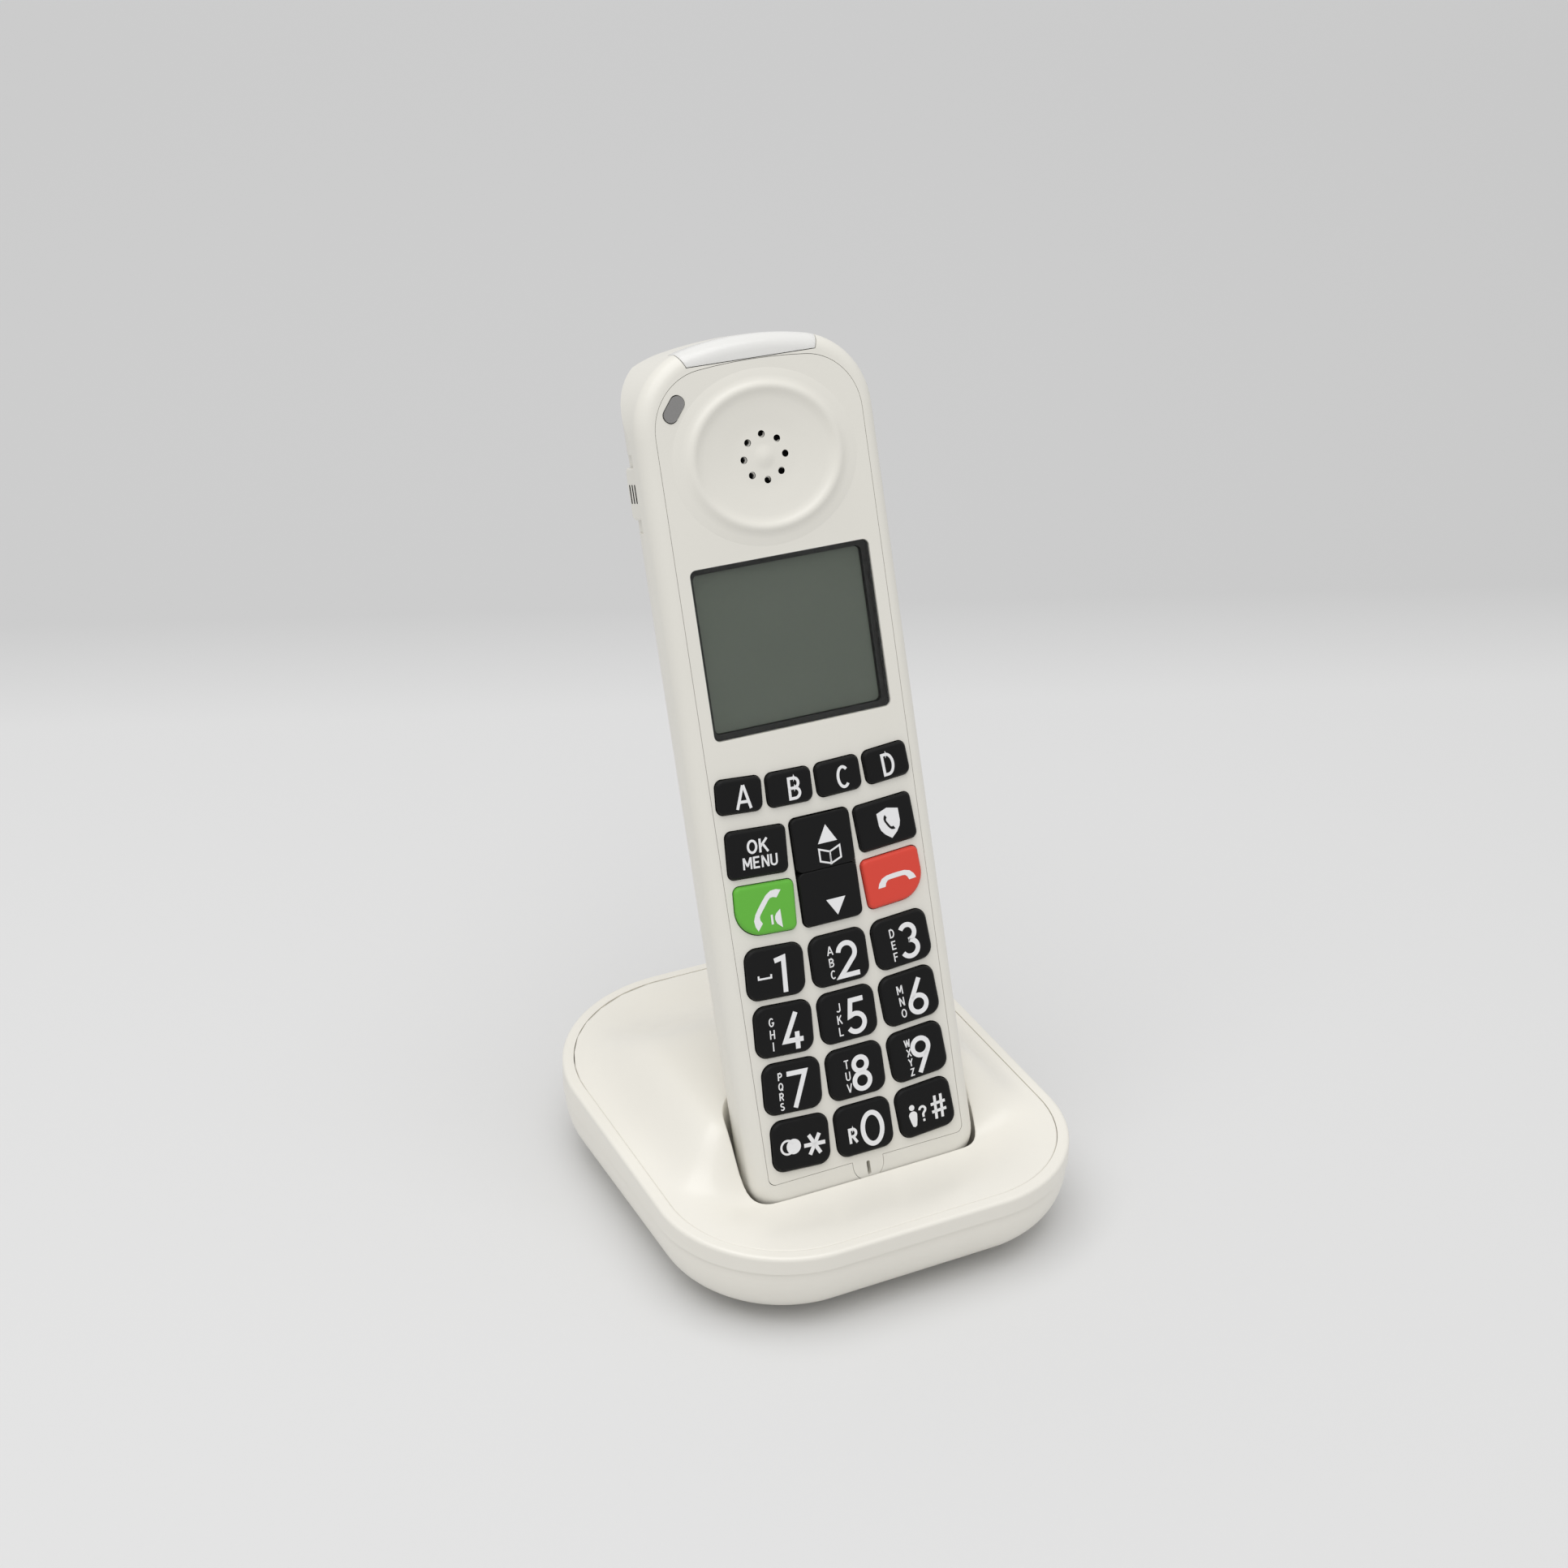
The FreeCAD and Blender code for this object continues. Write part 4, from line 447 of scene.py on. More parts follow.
BOWL = [(0.07, 0.0), (0.07, 0.93), (0.3, 0.93)] + arc((0.3, 0.69), (0.22, 0.24), 90, -90, 14) + [(0.07, 0.45)]
ROUND = arc((0.32, 0.5), (0.26, 0.43), 0, 360, 36)
LETTER_STROKES = {
    "A": [[(0.0, 0.0), (0.3, 1.0)], [(0.32, 1.0), (0.62, 0.0)], [(0.1, 0.3), (0.52, 0.3)]],
    "B": [[(0.07, 0.07), (0.07, 0.93), (0.3, 0.93)] + arc((0.3, 0.72), (0.2, 0.21), 90, -90, 14)
          + [(0.07, 0.51)],
          [(0.07, 0.51), (0.3, 0.51)] + arc((0.3, 0.29), (0.23, 0.22), 90, -90, 14)
          + [(0.07, 0.07), (0.07, 0.51)]],
    "C": [arc((0.32, 0.5), (0.25, 0.43), 45, 315, 30)],
    "D": [[(0.07, 0.07), (0.07, 0.93), (0.25, 0.93)] + arc((0.25, 0.5), (0.28, 0.43), 90, -90, 24)
          + [(0.07, 0.07)]],
    "E": [[(0.52, 0.93), (0.07, 0.93), (0.07, 0.07), (0.52, 0.07)], [(0.07, 0.51), (0.46, 0.51)]],
    "F": [[(0.52, 0.93), (0.07, 0.93), (0.07, 0.0)], [(0.07, 0.5), (0.45, 0.5)]],
    "G": [arc((0.32, 0.5), (0.25, 0.43), 45, 352, 32) + [(0.36, 0.44)]],
    "H": [[(0.07, 0.0), (0.07, 1.0)], [(0.53, 0.0), (0.53, 1.0)], [(0.07, 0.5), (0.53, 0.5)]],
    "I": [[(0.3, 0.0), (0.3, 1.0)]],
    "J": [[(0.45, 1.0)] + arc((0.24, 0.28), (0.21, 0.21), 0, -150, 16)],
    "K": [[(0.07, 0.0), (0.07, 1.0)], [(0.52, 1.0), (0.1, 0.42)], [(0.24, 0.6), (0.56, 0.0)]],
    "L": [[(0.07, 1.0), (0.07, 0.07), (0.5, 0.07)]],
    "M": [[(0.07, 0.0), (0.07, 1.0)], [(0.67, 0.0), (0.67, 1.0)],
          [(0.1, 0.97), (0.37, 0.24)], [(0.64, 0.97), (0.37, 0.24)]],
    "N": [[(0.07, 0.0), (0.07, 1.0)], [(0.55, 0.0), (0.55, 1.0)], [(0.09, 0.96), (0.53, 0.04)]],
    "O": [ROUND],
    "P": [BOWL],
    "Q": [ROUND, [(0.36, 0.28), (0.58, 0.0)]],
    "R": [BOWL, [(0.28, 0.45), (0.54, 0.0)]],
    "S": [arc((0.3, 0.715), (0.2, 0.215), 35, 270, 18) + arc((0.3, 0.285), (0.22, 0.215), 90, -150, 18)[1:]],
    "T": [[(0.02, 0.93), (0.58, 0.93)], [(0.3, 0.93), (0.3, 0.0)]],
    "U": [[(0.07, 1.0)] + arc((0.3, 0.33), (0.23, 0.26), 180, 360, 20) + [(0.53, 1.0)]],
    "V": [[(0.04, 1.0), (0.29, 0.0)], [(0.56, 1.0), (0.31, 0.0)]],
    "W": [[(0.03, 1.0), (0.21, 0.0)], [(0.22, 0.0), (0.4, 0.95)],
          [(0.4, 0.95), (0.58, 0.0)], [(0.59, 0.0), (0.77, 1.0)]],
    "X": [[(0.04, 0.0), (0.56, 1.0)], [(0.04, 1.0), (0.56, 0.0)]],
    "Y": [[(0.04, 1.0), (0.3, 0.45)], [(0.56, 1.0), (0.3, 0.45)], [(0.3, 0.48), (0.3, 0.0)]],
    "Z": [[(0.06, 0.93), (0.53, 0.93), (0.07, 0.07), (0.55, 0.07)]],
    "?": [arc((0.28, 0.75), (0.2, 0.19), 175, -60, 20) + [(0.28, 0.46), (0.28, 0.27)],
          [(0.28, 0.15), (0.28, 0.0)]],
}
LETTERS = {"2": "ABC", "3": "DEF", "4": "GHI", "5": "JKL",
           "6": "MNO", "7": "PQRS", "8": "TUV", "9": "WXYZ"}

# Signs, in millimetres about the middle of their keys. A word has height, centre, stroke and spread;
# a receiver has centre, scale and turn.
RECEIVER = [(4.46, -1.28), (4.07, -0.33), (3.27, 0.52), (2.1, 0.92), (0.6, 1.0)]
RECEIVER += [(-x, y) for x, y in reversed(RECEIVER)]
RECEIVER += [(-2.8, -1.3), (-2.5, -0.55), (-2.05, -0.13), (-1.5, -0.03),
             (1.5, -0.03), (2.05, -0.13), (2.5, -0.55), (2.8, -1.3)]
BRACKET, BRACKET_STROKE = [(-4.1, -0.15), (-4.1, -0.85), (-1.3, -0.85), (-1.3, -0.15)], 0.38
RECALL_WORD = (3.2, (-2.95, -0.95), 0.58)
STAR_SPOT, STAR_TURNS = Vector((2.75, -0.6)), (0, 60, 120)
STAR_REACH, STAR_STROKE = 2.4, 0.82
STAR_DISC = arc((-1.95, -0.25), (1.6, 1.6), 0, 360, 32)[:-1]
STAR_RING, STAR_RING_STROKE = arc((-3.35, -0.2), (1.42, 1.42), 30, 330, 30), 0.44
HASH_SPOT, HASH_GAP, HASH_STROKE = (2.8, -0.5), 0.72, 0.62
HASH_LEAN, HASH_LEVELS = 0.2, (-3.0, 2.0)
HASH_ENDS, HASH_SPREAD = (1.1, 4.5), 1.15
PERSON_HEAD = arc((-3.3, 1.05), (0.62, 0.62), 0, 360, 24)[:-1]
PERSON_BODY = arc((-3.3, -0.6), (0.95, 0.85), 0, 180, 16)
PERSON_BODY += [(-4.05, -1.8), (-3.75, -2.95), (-3.3, -3.2), (-2.85, -2.95), (-2.55, -1.8)]
QUESTION_WORD = (3.4, (-1.0, -0.85), 0.5)
OK_WORD = (2.8, (0.0, 1.4), 0.48, 1.25)
MENU_WORD = (2.4, (0.25, -1.85), 0.38, 1.12)
ARROW_LEFT, ARROW_MIDDLE, ARROW_RIGHT = -1.35, 0.82, 3.0
ARROW_LEVELS = ((8.9, 5.2), (-10.0, -6.5))
BOOK_SPINE, BOOK_REACH, BOOK_STROKE = 1.0, 2.35, 0.36
SPINE_LEVELS, PAGE_LEVELS = (0.75, 3.2), (1.6, 4.1)
SHIELD_SIDE = [(2.5, 2.25), (2.45, -0.35), (2.15, -1.4), (1.35, -2.45)]
SHIELD_MIDDLE, SHIELD_TOP, SHIELD_TIP = 0.6, 2.95, -3.5
SHIELD_RECEIVER = ((0.3, -0.33), 0.43, 118.9)
END_RECEIVER = ((0.44, 0.0), 1.0, 0.0)
TALK_RECEIVER = ((-0.51, 0.42), 1.07, 54.2)
TALK_BAR = [(0.7, -1.35), (1.15, -1.3), (1.26, -3.3), (0.8, -3.35)]
TALK_HORN = [(2.9, -0.4), (3.2, -4.25), (2.0, -3.3), (1.62, -2.4), (1.65, -1.75), (2.0, -1.15)]


def follow(points, pitch):
    """The path with points added along its long runs, so that it can follow a curved key top."""
    path = [points[0]]
    for start, end in zip(points, points[1:]):
        steps = max(1, math.ceil((end - start).length / pitch))
        path += [start.lerp(end, step / steps) for step in range(1, steps + 1)]
    return path


class Print:
    """Flat print gathered in a key's frame: strokes, filled outlines and letters."""

    def __init__(self):
        self.verts, self.faces = [], []

    def fill(self, points):
        """A flat face inside an outline that has no notches."""
        join(self.verts, self.faces, points, [tuple(range(len(points)))])

    def stroke(self, points, width):
        """A band of even width, mitred at its corners, and closed if it ends where it starts."""
        points = [Vector(point) for point in points]
        closed = (points[0] - points[-1]).length < TOUCH
        points = follow(points, PRINT_PITCH)
        if closed:
            points = points[:-1]
        count = len(points)
        left, right = [], []
        for index, point in enumerate(points):
            before = points[index - 1] if closed or index else None
            after = points[(index + 1) % count] if closed or index < count - 1 else None
            sides = []
            for start, end in ((before, point), (point, after)):
                if start is not None and end is not None:
                    along = (end - start).normalized()
                    sides.append(Vector((-along.y, along.x)))
            normal = sum(sides, Vector((0, 0))).normalized()
            reach = width / 2 / max(normal.dot(sides[0]), MITRE_LEAST)
            left.append(tuple(point + normal * reach))
            right.append(tuple(point - normal * reach))
        quads = []
        for index in range(count if closed else count - 1):
            after = (index + 1) % count
            quads.append((index, after, count + after, count + index))
        join(self.verts, self.faces, left + right, quads)

    def word(self, text, height, centre, width, spread=1.0):
        """Capital letters of a given height and stroke width, in a row about a centre."""
        spans, reach = [], 0.0
        for letter in text:
            across = [x for path in LETTER_STROKES[letter] for x, _ in path]
            spans.append(reach - min(across))
            reach += max(across) - min(across) + LETTER_GAP
        shift = (reach - LETTER_GAP) / 2
        for letter, start in zip(text, spans):
            for path in LETTER_STROKES[letter]:
                placed = [((x + start - shift) * height * spread + centre[0],
                           (y - 0.5) * height + centre[1]) for x, y in path]
                self.stroke(placed, width)

    def receiver(self, centre, scale, turn):
        """A telephone receiver's outline."""
        cosine, sine = math.cos(math.radians(turn)) * scale, math.sin(math.radians(turn)) * scale
        points = [Vector((x * cosine - y * sine + centre[0], x * sine + y * cosine + centre[1], 0))
                  for x, y in RECEIVER]
        flat = [tuple(point[:2]) for point in points]
        join(self.verts, self.faces, flat, tessellate_polygon([points]))

    def lay(self, key, name, material="legend_white", lift=PRINT_LIFT):
        """Puts the print on the key's crowned top, with a little thickness."""
        verts = [(x, y, key.top(x, y) + lift) for x, y in self.verts]
        piece = add_piece(name, verts, self.faces, material, f"key_{key.name}", "key_plastic", key.place)
        depth = piece.modifiers.new("ink", "SOLIDIFY")
        depth.thickness = PRINT_DEPTH * MM
        depth.offset = -1.0
        piece.data.shade_flat()


def digit_legend(key):
    """A large figure, with its letters in a column, a bracket or the recall letter to its left."""
    ink = Print()
    middle = DIGIT_ACROSS.get(key.name, DIGIT_ACROSS_USUAL)
    for path in DIGIT_STROKES[key.name]:
        placed = [((x - DIGIT_MIDDLE) * DIGIT_HEIGHT + middle, (y - 0.5) * DIGIT_HEIGHT + DIGIT_ALONG)
                  for x, y in path]
        ink.stroke(placed, DIGIT_STROKE)
    if key.name in LETTERS:
        letters = LETTERS[key.name]
        pitch, height = COLUMN_OF_THREE if len(letters) == 3 else COLUMN_OF_FOUR
        across = LETTER_ACROSS.get(key.name, LETTER_ACROSS_USUAL)
        for index, letter in enumerate(letters):
            along = LETTER_ALONG + pitch * ((len(letters) - 1) / 2 - index)
            ink.word(letter, height, (across, along), LETTER_STROKE)
    elif key.name == "1":
        ink.stroke(BRACKET, BRACKET_STROKE)
    elif key.name == "0":
        ink.word("R", *RECALL_WORD)
    ink.lay(key, f"legend_{key.name}")


def star_legend(key):
    ink = Print()
    for angle in STAR_TURNS:
        reach = Vector((math.cos(math.radians(angle)), math.sin(math.radians(angle)))) * STAR_REACH
        ink.stroke([tuple(STAR_SPOT - reach), tuple(STAR_SPOT + reach)], STAR_STROKE)
    ink.fill(STAR_DISC)
    ink.stroke(STAR_RING, STAR_RING_STROKE)
    ink.lay(key, "legend_star")


def hash_legend(key):
    ink = Print()
    across, along = HASH_SPOT
    low, high = HASH_LEVELS
    for offset in (-HASH_GAP, HASH_GAP):
        level = along + offset * HASH_SPREAD
        ink.stroke([(across + offset - HASH_LEAN, low), (across + offset + HASH_LEAN, high)], HASH_STROKE)
        ink.stroke([(end, level) for end in HASH_ENDS], HASH_STROKE)
    ink.fill(PERSON_HEAD)
    ink.fill(PERSON_BODY)
    ink.word("?", *QUESTION_WORD)
    ink.lay(key, "legend_hash")


def memory_legend(key):
    ink = Print()
    ink.word(key.name.upper(), MEMORY_HEIGHT, (MEMORY_ACROSS[key.name], MEMORY_ALONG), MEMORY_STROKE)
    ink.lay(key, f"legend_{key.name}")


def menu_legend(key):
    ink = Print()
    ink.word("OK", *OK_WORD)
    ink.word("MENU", *MENU_WORD)
    ink.lay(key, "legend_menu")


def navigation_legend(key):
    """An arrow at each end and an open book under the upper one."""
    ink = Print()
    for tip, base in ARROW_LEVELS:
        ink.fill([(ARROW_LEFT, base), (ARROW_RIGHT, base), (ARROW_MIDDLE, tip)])
    for side in (-1, 1):
        outer = BOOK_SPINE + side * BOOK_REACH
        page = [(BOOK_SPINE, SPINE_LEVELS[0]), (outer, PAGE_LEVELS[0]),
                (outer, PAGE_LEVELS[1]), (BOOK_SPINE, SPINE_LEVELS[1])]
        ink.stroke(page + page[:1], BOOK_STROKE)
    ink.lay(key, "legend_navigation")


def shield_legend(key):
    """A pale shield with a dark receiver on it."""
    ink = Print()
    left = [(SHIELD_MIDDLE - x, y) for x, y in SHIELD_SIDE]
    right = [(SHIELD_MIDDLE + x, y) for x, y in reversed(SHIELD_SIDE)]
    ink.fill([(SHIELD_MIDDLE, SHIELD_TOP)] + left + [(SHIELD_MIDDLE, SHIELD_TIP)] + right)
    ink.lay(key, "legend_shield")
    mark = Print()
    mark.receiver(*SHIELD_RECEIVER)
    mark.lay(key, "legend_shield_mark", "key_plastic", PRINT_LIFT + PRINT_DEPTH / 2)


def end_legend(key):
    ink = Print()
    ink.receiver(*END_RECEIVER)
    ink.lay(key, "legend_end")


def talk_legend(key):
    """A raised receiver and a small loudspeaker."""
    ink = Print()
    ink.receiver(*TALK_RECEIVER)
    ink.fill(TALK_BAR)
    ink.fill(TALK_HORN)
    ink.lay(key, "legend_talk")


LEGENDS = {"star": star_legend, "hash": hash_legend, "menu": menu_legend, "navigation": navigation_legend,
           "shield": shield_legend, "end": end_legend, "talk": talk_legend}


def make_keys():
    for key in all_keys():
        make_key(key)
        if key.name in LEGENDS:
            LEGENDS[key.name](key)
        elif key.name in DIGIT_STROKES:
            digit_legend(key)
        else:
            memory_legend(key)


# Cradle cover

CRADLE_WIDTH, CRADLE_DEPTH = 92.0, 106.0
FRONT_CORNER, BACK_CORNER = 27.5, 34.0
COVER_INSET = 2.58
RIM_WALL, RIM_HEIGHT, RIM_TILT = 2.5, 20.6, math.radians(1.72)
DISH_DEPTH, DISH_REACH, DISH_SQUARENESS = 3.2, 0.4, 4
HUMP_HEIGHT, HUMP_SHOULDER = 13.0, 27.0
HUMP_FRONT, HUMP_BACK = (-31.0, -14.0), (47.0, 9.0)
POCKET_HALF, POCKET_FRONT, POCKET_BACK, POCKET_FLOOR = 27.3, 0.4, -22.4, -13.9
POCKET_CORNER, POCKET_SPLIT = 5.0, -5.5
POCKET_MIDDLE = Vector((0, -13.0))
POCKET_CORNER_STEPS, POCKET_BACK_STEPS = 10, 60
MOUTH_ROUND, MOUTH_PITCH = 0.45, 1.2
MOUTH_HIGHEST, MOUTH_HALVINGS = 80.0, 40
SEAM_ROUND = 0.3
RIM_STEPS = 24
WALL_STEPS = 5
MOUTH_SHARES = (0.04, 0.15, 0.32, 0.55, 0.8, 1.0)
COVER_SHARES = (0.04, 0.09, 0.15, 0.22, 0.3, 0.38, 0.46, 0.54, 0.62, 0.7, 0.78, 0.85, 0.91, 0.95, 0.98)
PARALLEL, SLACK = 1e-9, 1e-6
SKIRT_LOW = 17.0
MILLIMETRES = Matrix.Scale(MM, 4)


def smooth_step(value):
    """A soft passage from 0 to 1."""
    value = min(max(value, 0.0), 1.0)
    return value * value * value * (value * (value * 6 - 15) + 10)


def cover_height(x, y):
    """Height of the cradle's top: level at the rim, dished inside it, humped round the handset."""
    half_width, half_depth = CRADLE_WIDTH / 2 - RIM_WALL, CRADLE_DEPTH / 2 - RIM_WALL
    spread = (x / half_width) ** DISH_SQUARENESS + (y / half_depth) ** DISH_SQUARENESS
    spread = spread ** (1 / DISH_SQUARENESS)
    dish = DISH_DEPTH * smooth_step((1 - spread) / DISH_REACH)
    across = smooth_step((half_width - abs(x)) / (half_width - HUMP_SHOULDER))
    rise = smooth_step((y - HUMP_FRONT[0]) / (HUMP_FRONT[1] - HUMP_FRONT[0]))
    fall = smooth_step((HUMP_BACK[0] - y) / (HUMP_BACK[0] - HUMP_BACK[1]))
    return RIM_HEIGHT + math.tan(RIM_TILT) * y - dish + HUMP_HEIGHT * across * rise * fall


def pocket_point(u, w, along):
    """A point of the leaning pocket in the telephone's frame, in millimetres."""
    return HANDSET @ Vector((u, along, w)) / MM


def pocket_mouth(u, w):
    """Where a line up the pocket's wall meets the cover's surface."""
    low, high = POCKET_FLOOR, MOUTH_HIGHEST
    for _ in range(MOUTH_HALVINGS):
        middle = (low + high) / 2
        point = pocket_point(u, w, middle)
        if point.z < cover_height(point.x, point.y):
            low = middle
        else:
            high = middle
    return low


def ray_to_outline(outline, direction):
    """Where a ray from the pocket's middle leaves a closed outline."""
    best = None
    for start, end in zip(outline, outline[1:] + outline[:1]):
        start, end = Vector(start) - POCKET_MIDDLE, Vector(end) - POCKET_MIDDLE
        edge = end - start
        cross = direction.x * edge.y - direction.y * edge.x
        if abs(cross) < PARALLEL:
            continue
        reach = (start.x * edge.y - start.y * edge.x) / cross
        share = (start.x * direction.y - start.y * direction.x) / cross
        if reach > 0 and -SLACK <= share <= 1 + SLACK and (best is None or reach > best):
            best = reach
    return POCKET_MIDDLE + direction * best


def pocket_section():
    """The pocket across: straight sides with rounded front corners and an oval back."""
    corner = (POCKET_CORNER, POCKET_CORNER)
    across, front = POCKET_HALF - POCKET_CORNER, POCKET_FRONT - POCKET_CORNER
    points = arc((across, front), corner, 0, 90, POCKET_CORNER_STEPS)
    points += arc((-across, front), corner, 90, 180, POCKET_CORNER_STEPS)
    back = (POCKET_HALF, POCKET_SPLIT - POCKET_BACK)
    return points + arc((0, POCKET_SPLIT), back, 180, 360, POCKET_BACK_STEPS)


def edge_drop(reach, radius):
    """How far a rounded edge of that radius lies under its sharp corner, a reach in from it."""
    if reach >= radius:
        return 0.0
    return radius - math.sqrt(radius * radius - (radius - reach) ** 2)


def divide(outline, pitch):
    """The outline with its long straight runs divided into steps of about the pitch."""
    points = []
    for start, end in zip(outline, outline[1:] + outline[:1]):
        start, end = Vector(start), Vector(end)
        steps = max(1, round((end - start).length / pitch))
        if (end - start).length < SLACK:
            continue
        points += [tuple(start.lerp(end, step / steps)) for step in range(steps)]
    return points


def cradle_outline(inset, corner_inset):
    """The cradle in plan, drawn in from its widest outline."""
    back, front = BACK_CORNER - corner_inset, FRONT_CORNER - corner_inset
    corners = (back, back, front, front)
    return rounded_quad(CRADLE_WIDTH - inset * 2, CRADLE_DEPTH - inset * 2, corners, RIM_STEPS)


def make_cover():
    """Top of the cradle in rings from the pocket's floor up its walls and out to the rim."""
    rim = cradle_outline(COVER_INSET, COVER_INSET)
    columns = []
    for u, w in divide(pocket_section(), MOUTH_PITCH):
        top = pocket_mouth(u, w)
        mouth = pocket_point(u, w, top)
        plan = Vector((mouth.x, mouth.y))
        edge = ray_to_outline(rim, (plan - POCKET_MIDDLE).normalized())
        column = [pocket_point(u, w, POCKET_FLOOR + (top - MOUTH_ROUND - POCKET_FLOOR) * step / WALL_STEPS)
                  for step in range(WALL_STEPS + 1)]
        span = (edge - plan).length
        reaches = [MOUTH_ROUND * share for share in MOUTH_SHARES]
        reaches += [MOUTH_ROUND + (span - MOUTH_ROUND) * share for share in COVER_SHARES]
        for reach in reaches + [span - SEAM_ROUND, span - SEAM_ROUND / 3, span]:
            spot = plan.lerp(edge, reach / span)
            height = cover_height(spot.x, spot.y)
            height -= edge_drop(reach, MOUTH_ROUND) + edge_drop(span - reach, SEAM_ROUND)
            column.append(Vector((spot.x, spot.y, height)))
        column.append(Vector((edge.x, edge.y, SKIRT_LOW)))
        columns.append(column)
    count = len(columns[0])
    verts = [vert for column in columns for vert in column]
    faces = [tuple(index * count for index in range(len(columns)))]
    for index in range(len(columns)):
        here, after = index * count, (index + 1) % len(columns) * count
        for step in range(count - 1):
            faces.append((here + step, after + step, after + step + 1, here + step + 1))
    cover = add_piece("cover_skin", verts, faces, "cradle_plastic", "cradle", "cradle_plastic", MILLIMETRES)
    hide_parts("cradle_cover")


SEAM_INSET = 0.37
SEAM_RINGS = ((14.98, 0.03), (15.06, 0.0), (15.29, 0.0))


def make_seam():
    """The fine line where the cradle's two shells meet, set back under the upper one; its darker tone is painted
    shade for the gap between the shells.
    """
    rings = []
    for level, deeper in SEAM_RINGS:
        rings.append([(x, y, level) for x, y in cradle_outline(SEAM_INSET + deeper, SEAM_INSET)])
    verts, faces = skin(rings, close_last=False)
    add_piece("cradle_seam", verts, faces, "seam_shade", "cradle", "cradle_plastic", MILLIMETRES)


# Earpiece

EAR_MIDDLE = 139.2
EAR_RADII = (16.0, 13.9)
EAR_PROFILE = (
    (1.26, 0.004), (1.22, 0.10), (1.16, 0.20), (1.10, 0.34), (1.06, 0.66), (1.03, 0.90), (1.0, 0.99),
    (0.97, 0.90), (0.94, 0.66), (0.90, 0.32), (0.83, 0.08), (0.70, -0.12), (0.57, -0.34), (0.47, -0.52),
    (0.40, -0.58),
)
EAR_HOLES, EAR_HOLE_CIRCLE, EAR_HOLE_RADIUS, EAR_HOLE_DEPTH = 8, 4.55, 0.74, 0.9
EAR_DOME = ((2.6, 0.0), (2.1, 0.07), (1.6, 0.2), (1.0, 0.33), (0.5, 0.43), (0.2, 0.45))
TURN_STEPS = 96
HOLE_STEPS = 20


def oval(middle, radii, level, steps):
    """A ring of points at one level."""
    return [(x, y, level) for x, y in arc(middle, radii, 0, 360, steps)[:-1]]


def make_earpiece():
    """Oval ring on a soft mound, a shallow bowl inside it, a low dome and a circle of sound holes."""
    middle = (0, EAR_MIDDLE)
    floor = EAR_PROFILE[-1][1]
    outer = [oval(middle, (EAR_RADII[0] * share, EAR_RADII[1] * share), level, TURN_STEPS)
             for share, level in EAR_PROFILE]
    dome = [oval(middle, (radius, radius), floor + rise, TURN_STEPS) for radius, rise in EAR_DOME]
    holes = []
    for index in range(EAR_HOLES):
        angle = 2 * math.pi * index / EAR_HOLES
        spot = (EAR_HOLE_CIRCLE * math.cos(angle), EAR_MIDDLE + EAR_HOLE_CIRCLE * math.sin(angle))
        holes.append(oval(spot, (EAR_HOLE_RADIUS, EAR_HOLE_RADIUS), floor, HOLE_STEPS))
    verts, faces = skin(outer, close_last=False)
    base = len(verts)
    join(verts, faces, *skin(dome))
    loops = [list(range(base - TURN_STEPS, base)), list(range(base, base + TURN_STEPS))]
    for hole in holes:
        loops.append(list(range(len(verts), len(verts) + HOLE_STEPS)))
        verts += hole
    order = [index for loop in loops for index in loop]
    plate = tessellate_polygon([[Vector(verts[index]) for index in loop] for loop in loops])
    faces += [tuple(order[index] for index in face) for face in plate]
    add_piece("earpiece_ring", verts, faces, "handset_plastic", "handset", "handset_plastic")
    # Each sound hole gets a near-black cup, walls and bottom: painted shade for the darkness inside the hole.
    for number, hole in enumerate(holes, 1):
        pit = [[(x, y, level - drop) for x, y, level in hole] for drop in (0.0, EAR_HOLE_DEPTH)]
        add_piece(f"ear_hole_{number}", *skin(pit), "hole_black", "handset", "dark_plastic")


# Slide switch

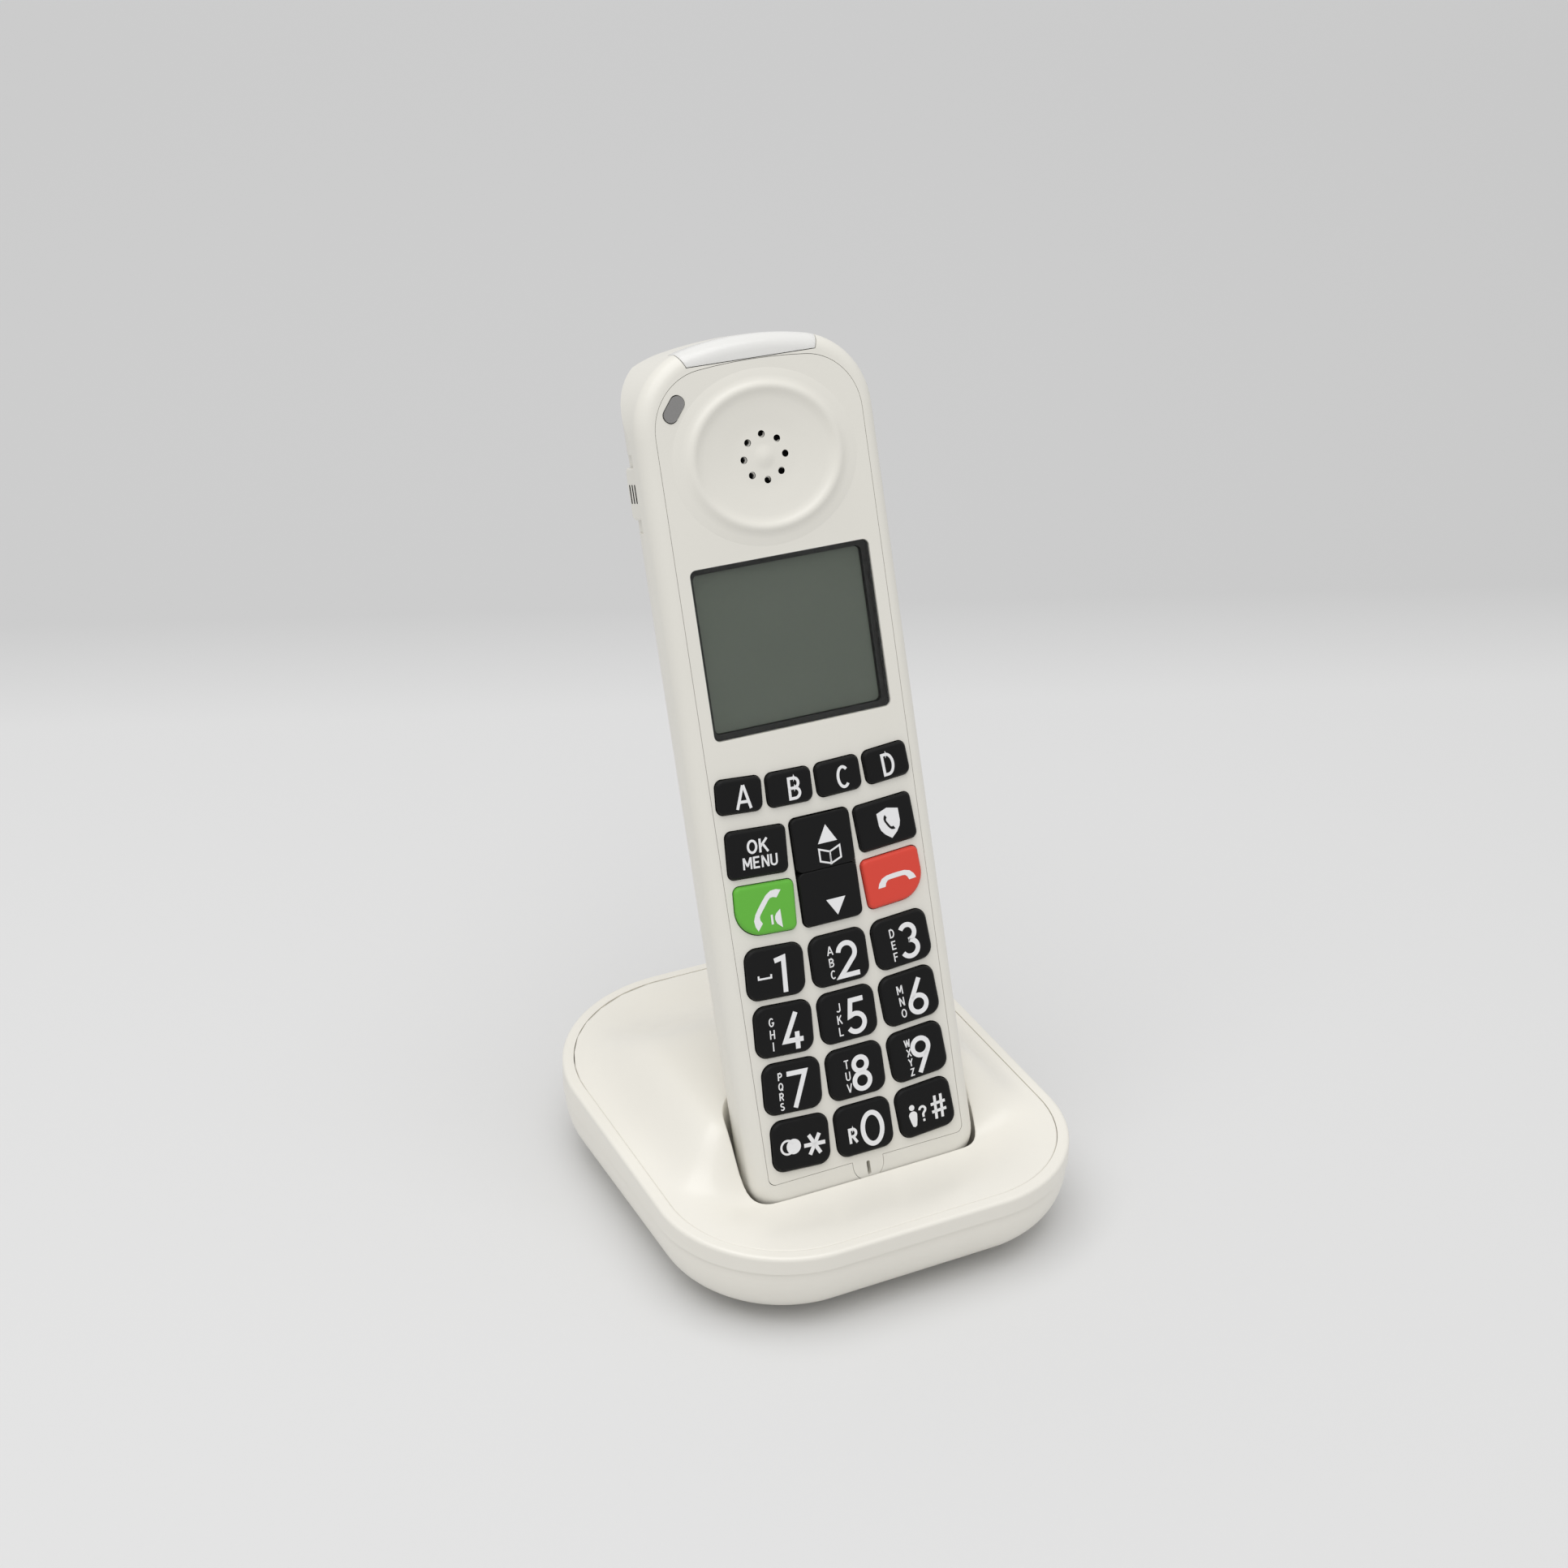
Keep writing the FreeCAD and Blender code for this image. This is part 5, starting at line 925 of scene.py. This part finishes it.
SWITCH_FACE, SWITCH_MIDDLE, SWITCH_DEPTHS = -25.6, 135.8, (-7.3, -8.6, -9.9)
RIB_RISE, RIB_LENGTH, RIB_WIDTH = 0.07, 3.8, 0.42
RIB_FLAT, RIB_STEPS = 0.01, 4


def make_switch_marks():
    """Three dark ribs along the slider's outer face."""
    verts, faces = [], []
    for depth in SWITCH_DEPTHS:
        rings = []
        for inset, level in ((0.0, 0.0), (0.0, RIB_RISE / 2), (RIB_RISE / 2, RIB_RISE)):
            corners = [RIB_WIDTH / 2 - inset - RIB_FLAT] * 4
            outline = rounded_quad(RIB_LENGTH - inset * 2, RIB_WIDTH - inset * 2, corners, RIB_STEPS)
            rings.append([(SWITCH_FACE - level, SWITCH_MIDDLE + along, depth + across)
                          for along, across in outline])
        join(verts, faces, *skin(rings))
    add_piece("switch_marks", verts, faces, "hole_black", "tone_switch", "dark_plastic")


# Charge pin springs

SPRING_ACROSS, SPRING_OUT = 9.0, -3.4
SPRING_FOOT, SPRING_HEAD, SPRING_TRAVEL = -19.05, -16.45, 0.6
SPRING_RADIUS, WIRE_RADIUS = 1.5, 0.16
SPRING_TURNS, STEPS_A_TURN, WIRE_SIDES = 4, 28, 10


def make_springs():
    """A coil of wire under each charge pin."""
    low, high = SPRING_FOOT + WIRE_RADIUS, SPRING_HEAD - WIRE_RADIUS
    steps = SPRING_TURNS * STEPS_A_TURN
    for side, name in ((-1, "left"), (1, "right")):
        middle = SPRING_ACROSS * side
        rings = []
        for step in range(steps + 1):
            angle = 2 * math.pi * step / STEPS_A_TURN
            level = low + (high - low) * step / steps
            wire = arc((SPRING_RADIUS, level), (WIRE_RADIUS, WIRE_RADIUS), 0, 360, WIRE_SIDES)[:-1]
            rings.append([(middle + reach * math.cos(angle), rise, SPRING_OUT + reach * math.sin(angle))
                          for reach, rise in wire])
        verts, faces = skin(rings)
        faces.append(tuple(reversed(range(WIRE_SIDES))))
        coil = add_piece(f"coil_{name}", verts, faces, "screw_steel", "cradle", "screw_steel")
        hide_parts(f"charge_spring_{name}")
        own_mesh(coil)


make_camera()
make_stage()
make_light()
dress_nodes()
make_keys()
make_cover()
make_seam()
make_earpiece()
make_switch_marks()
make_springs()
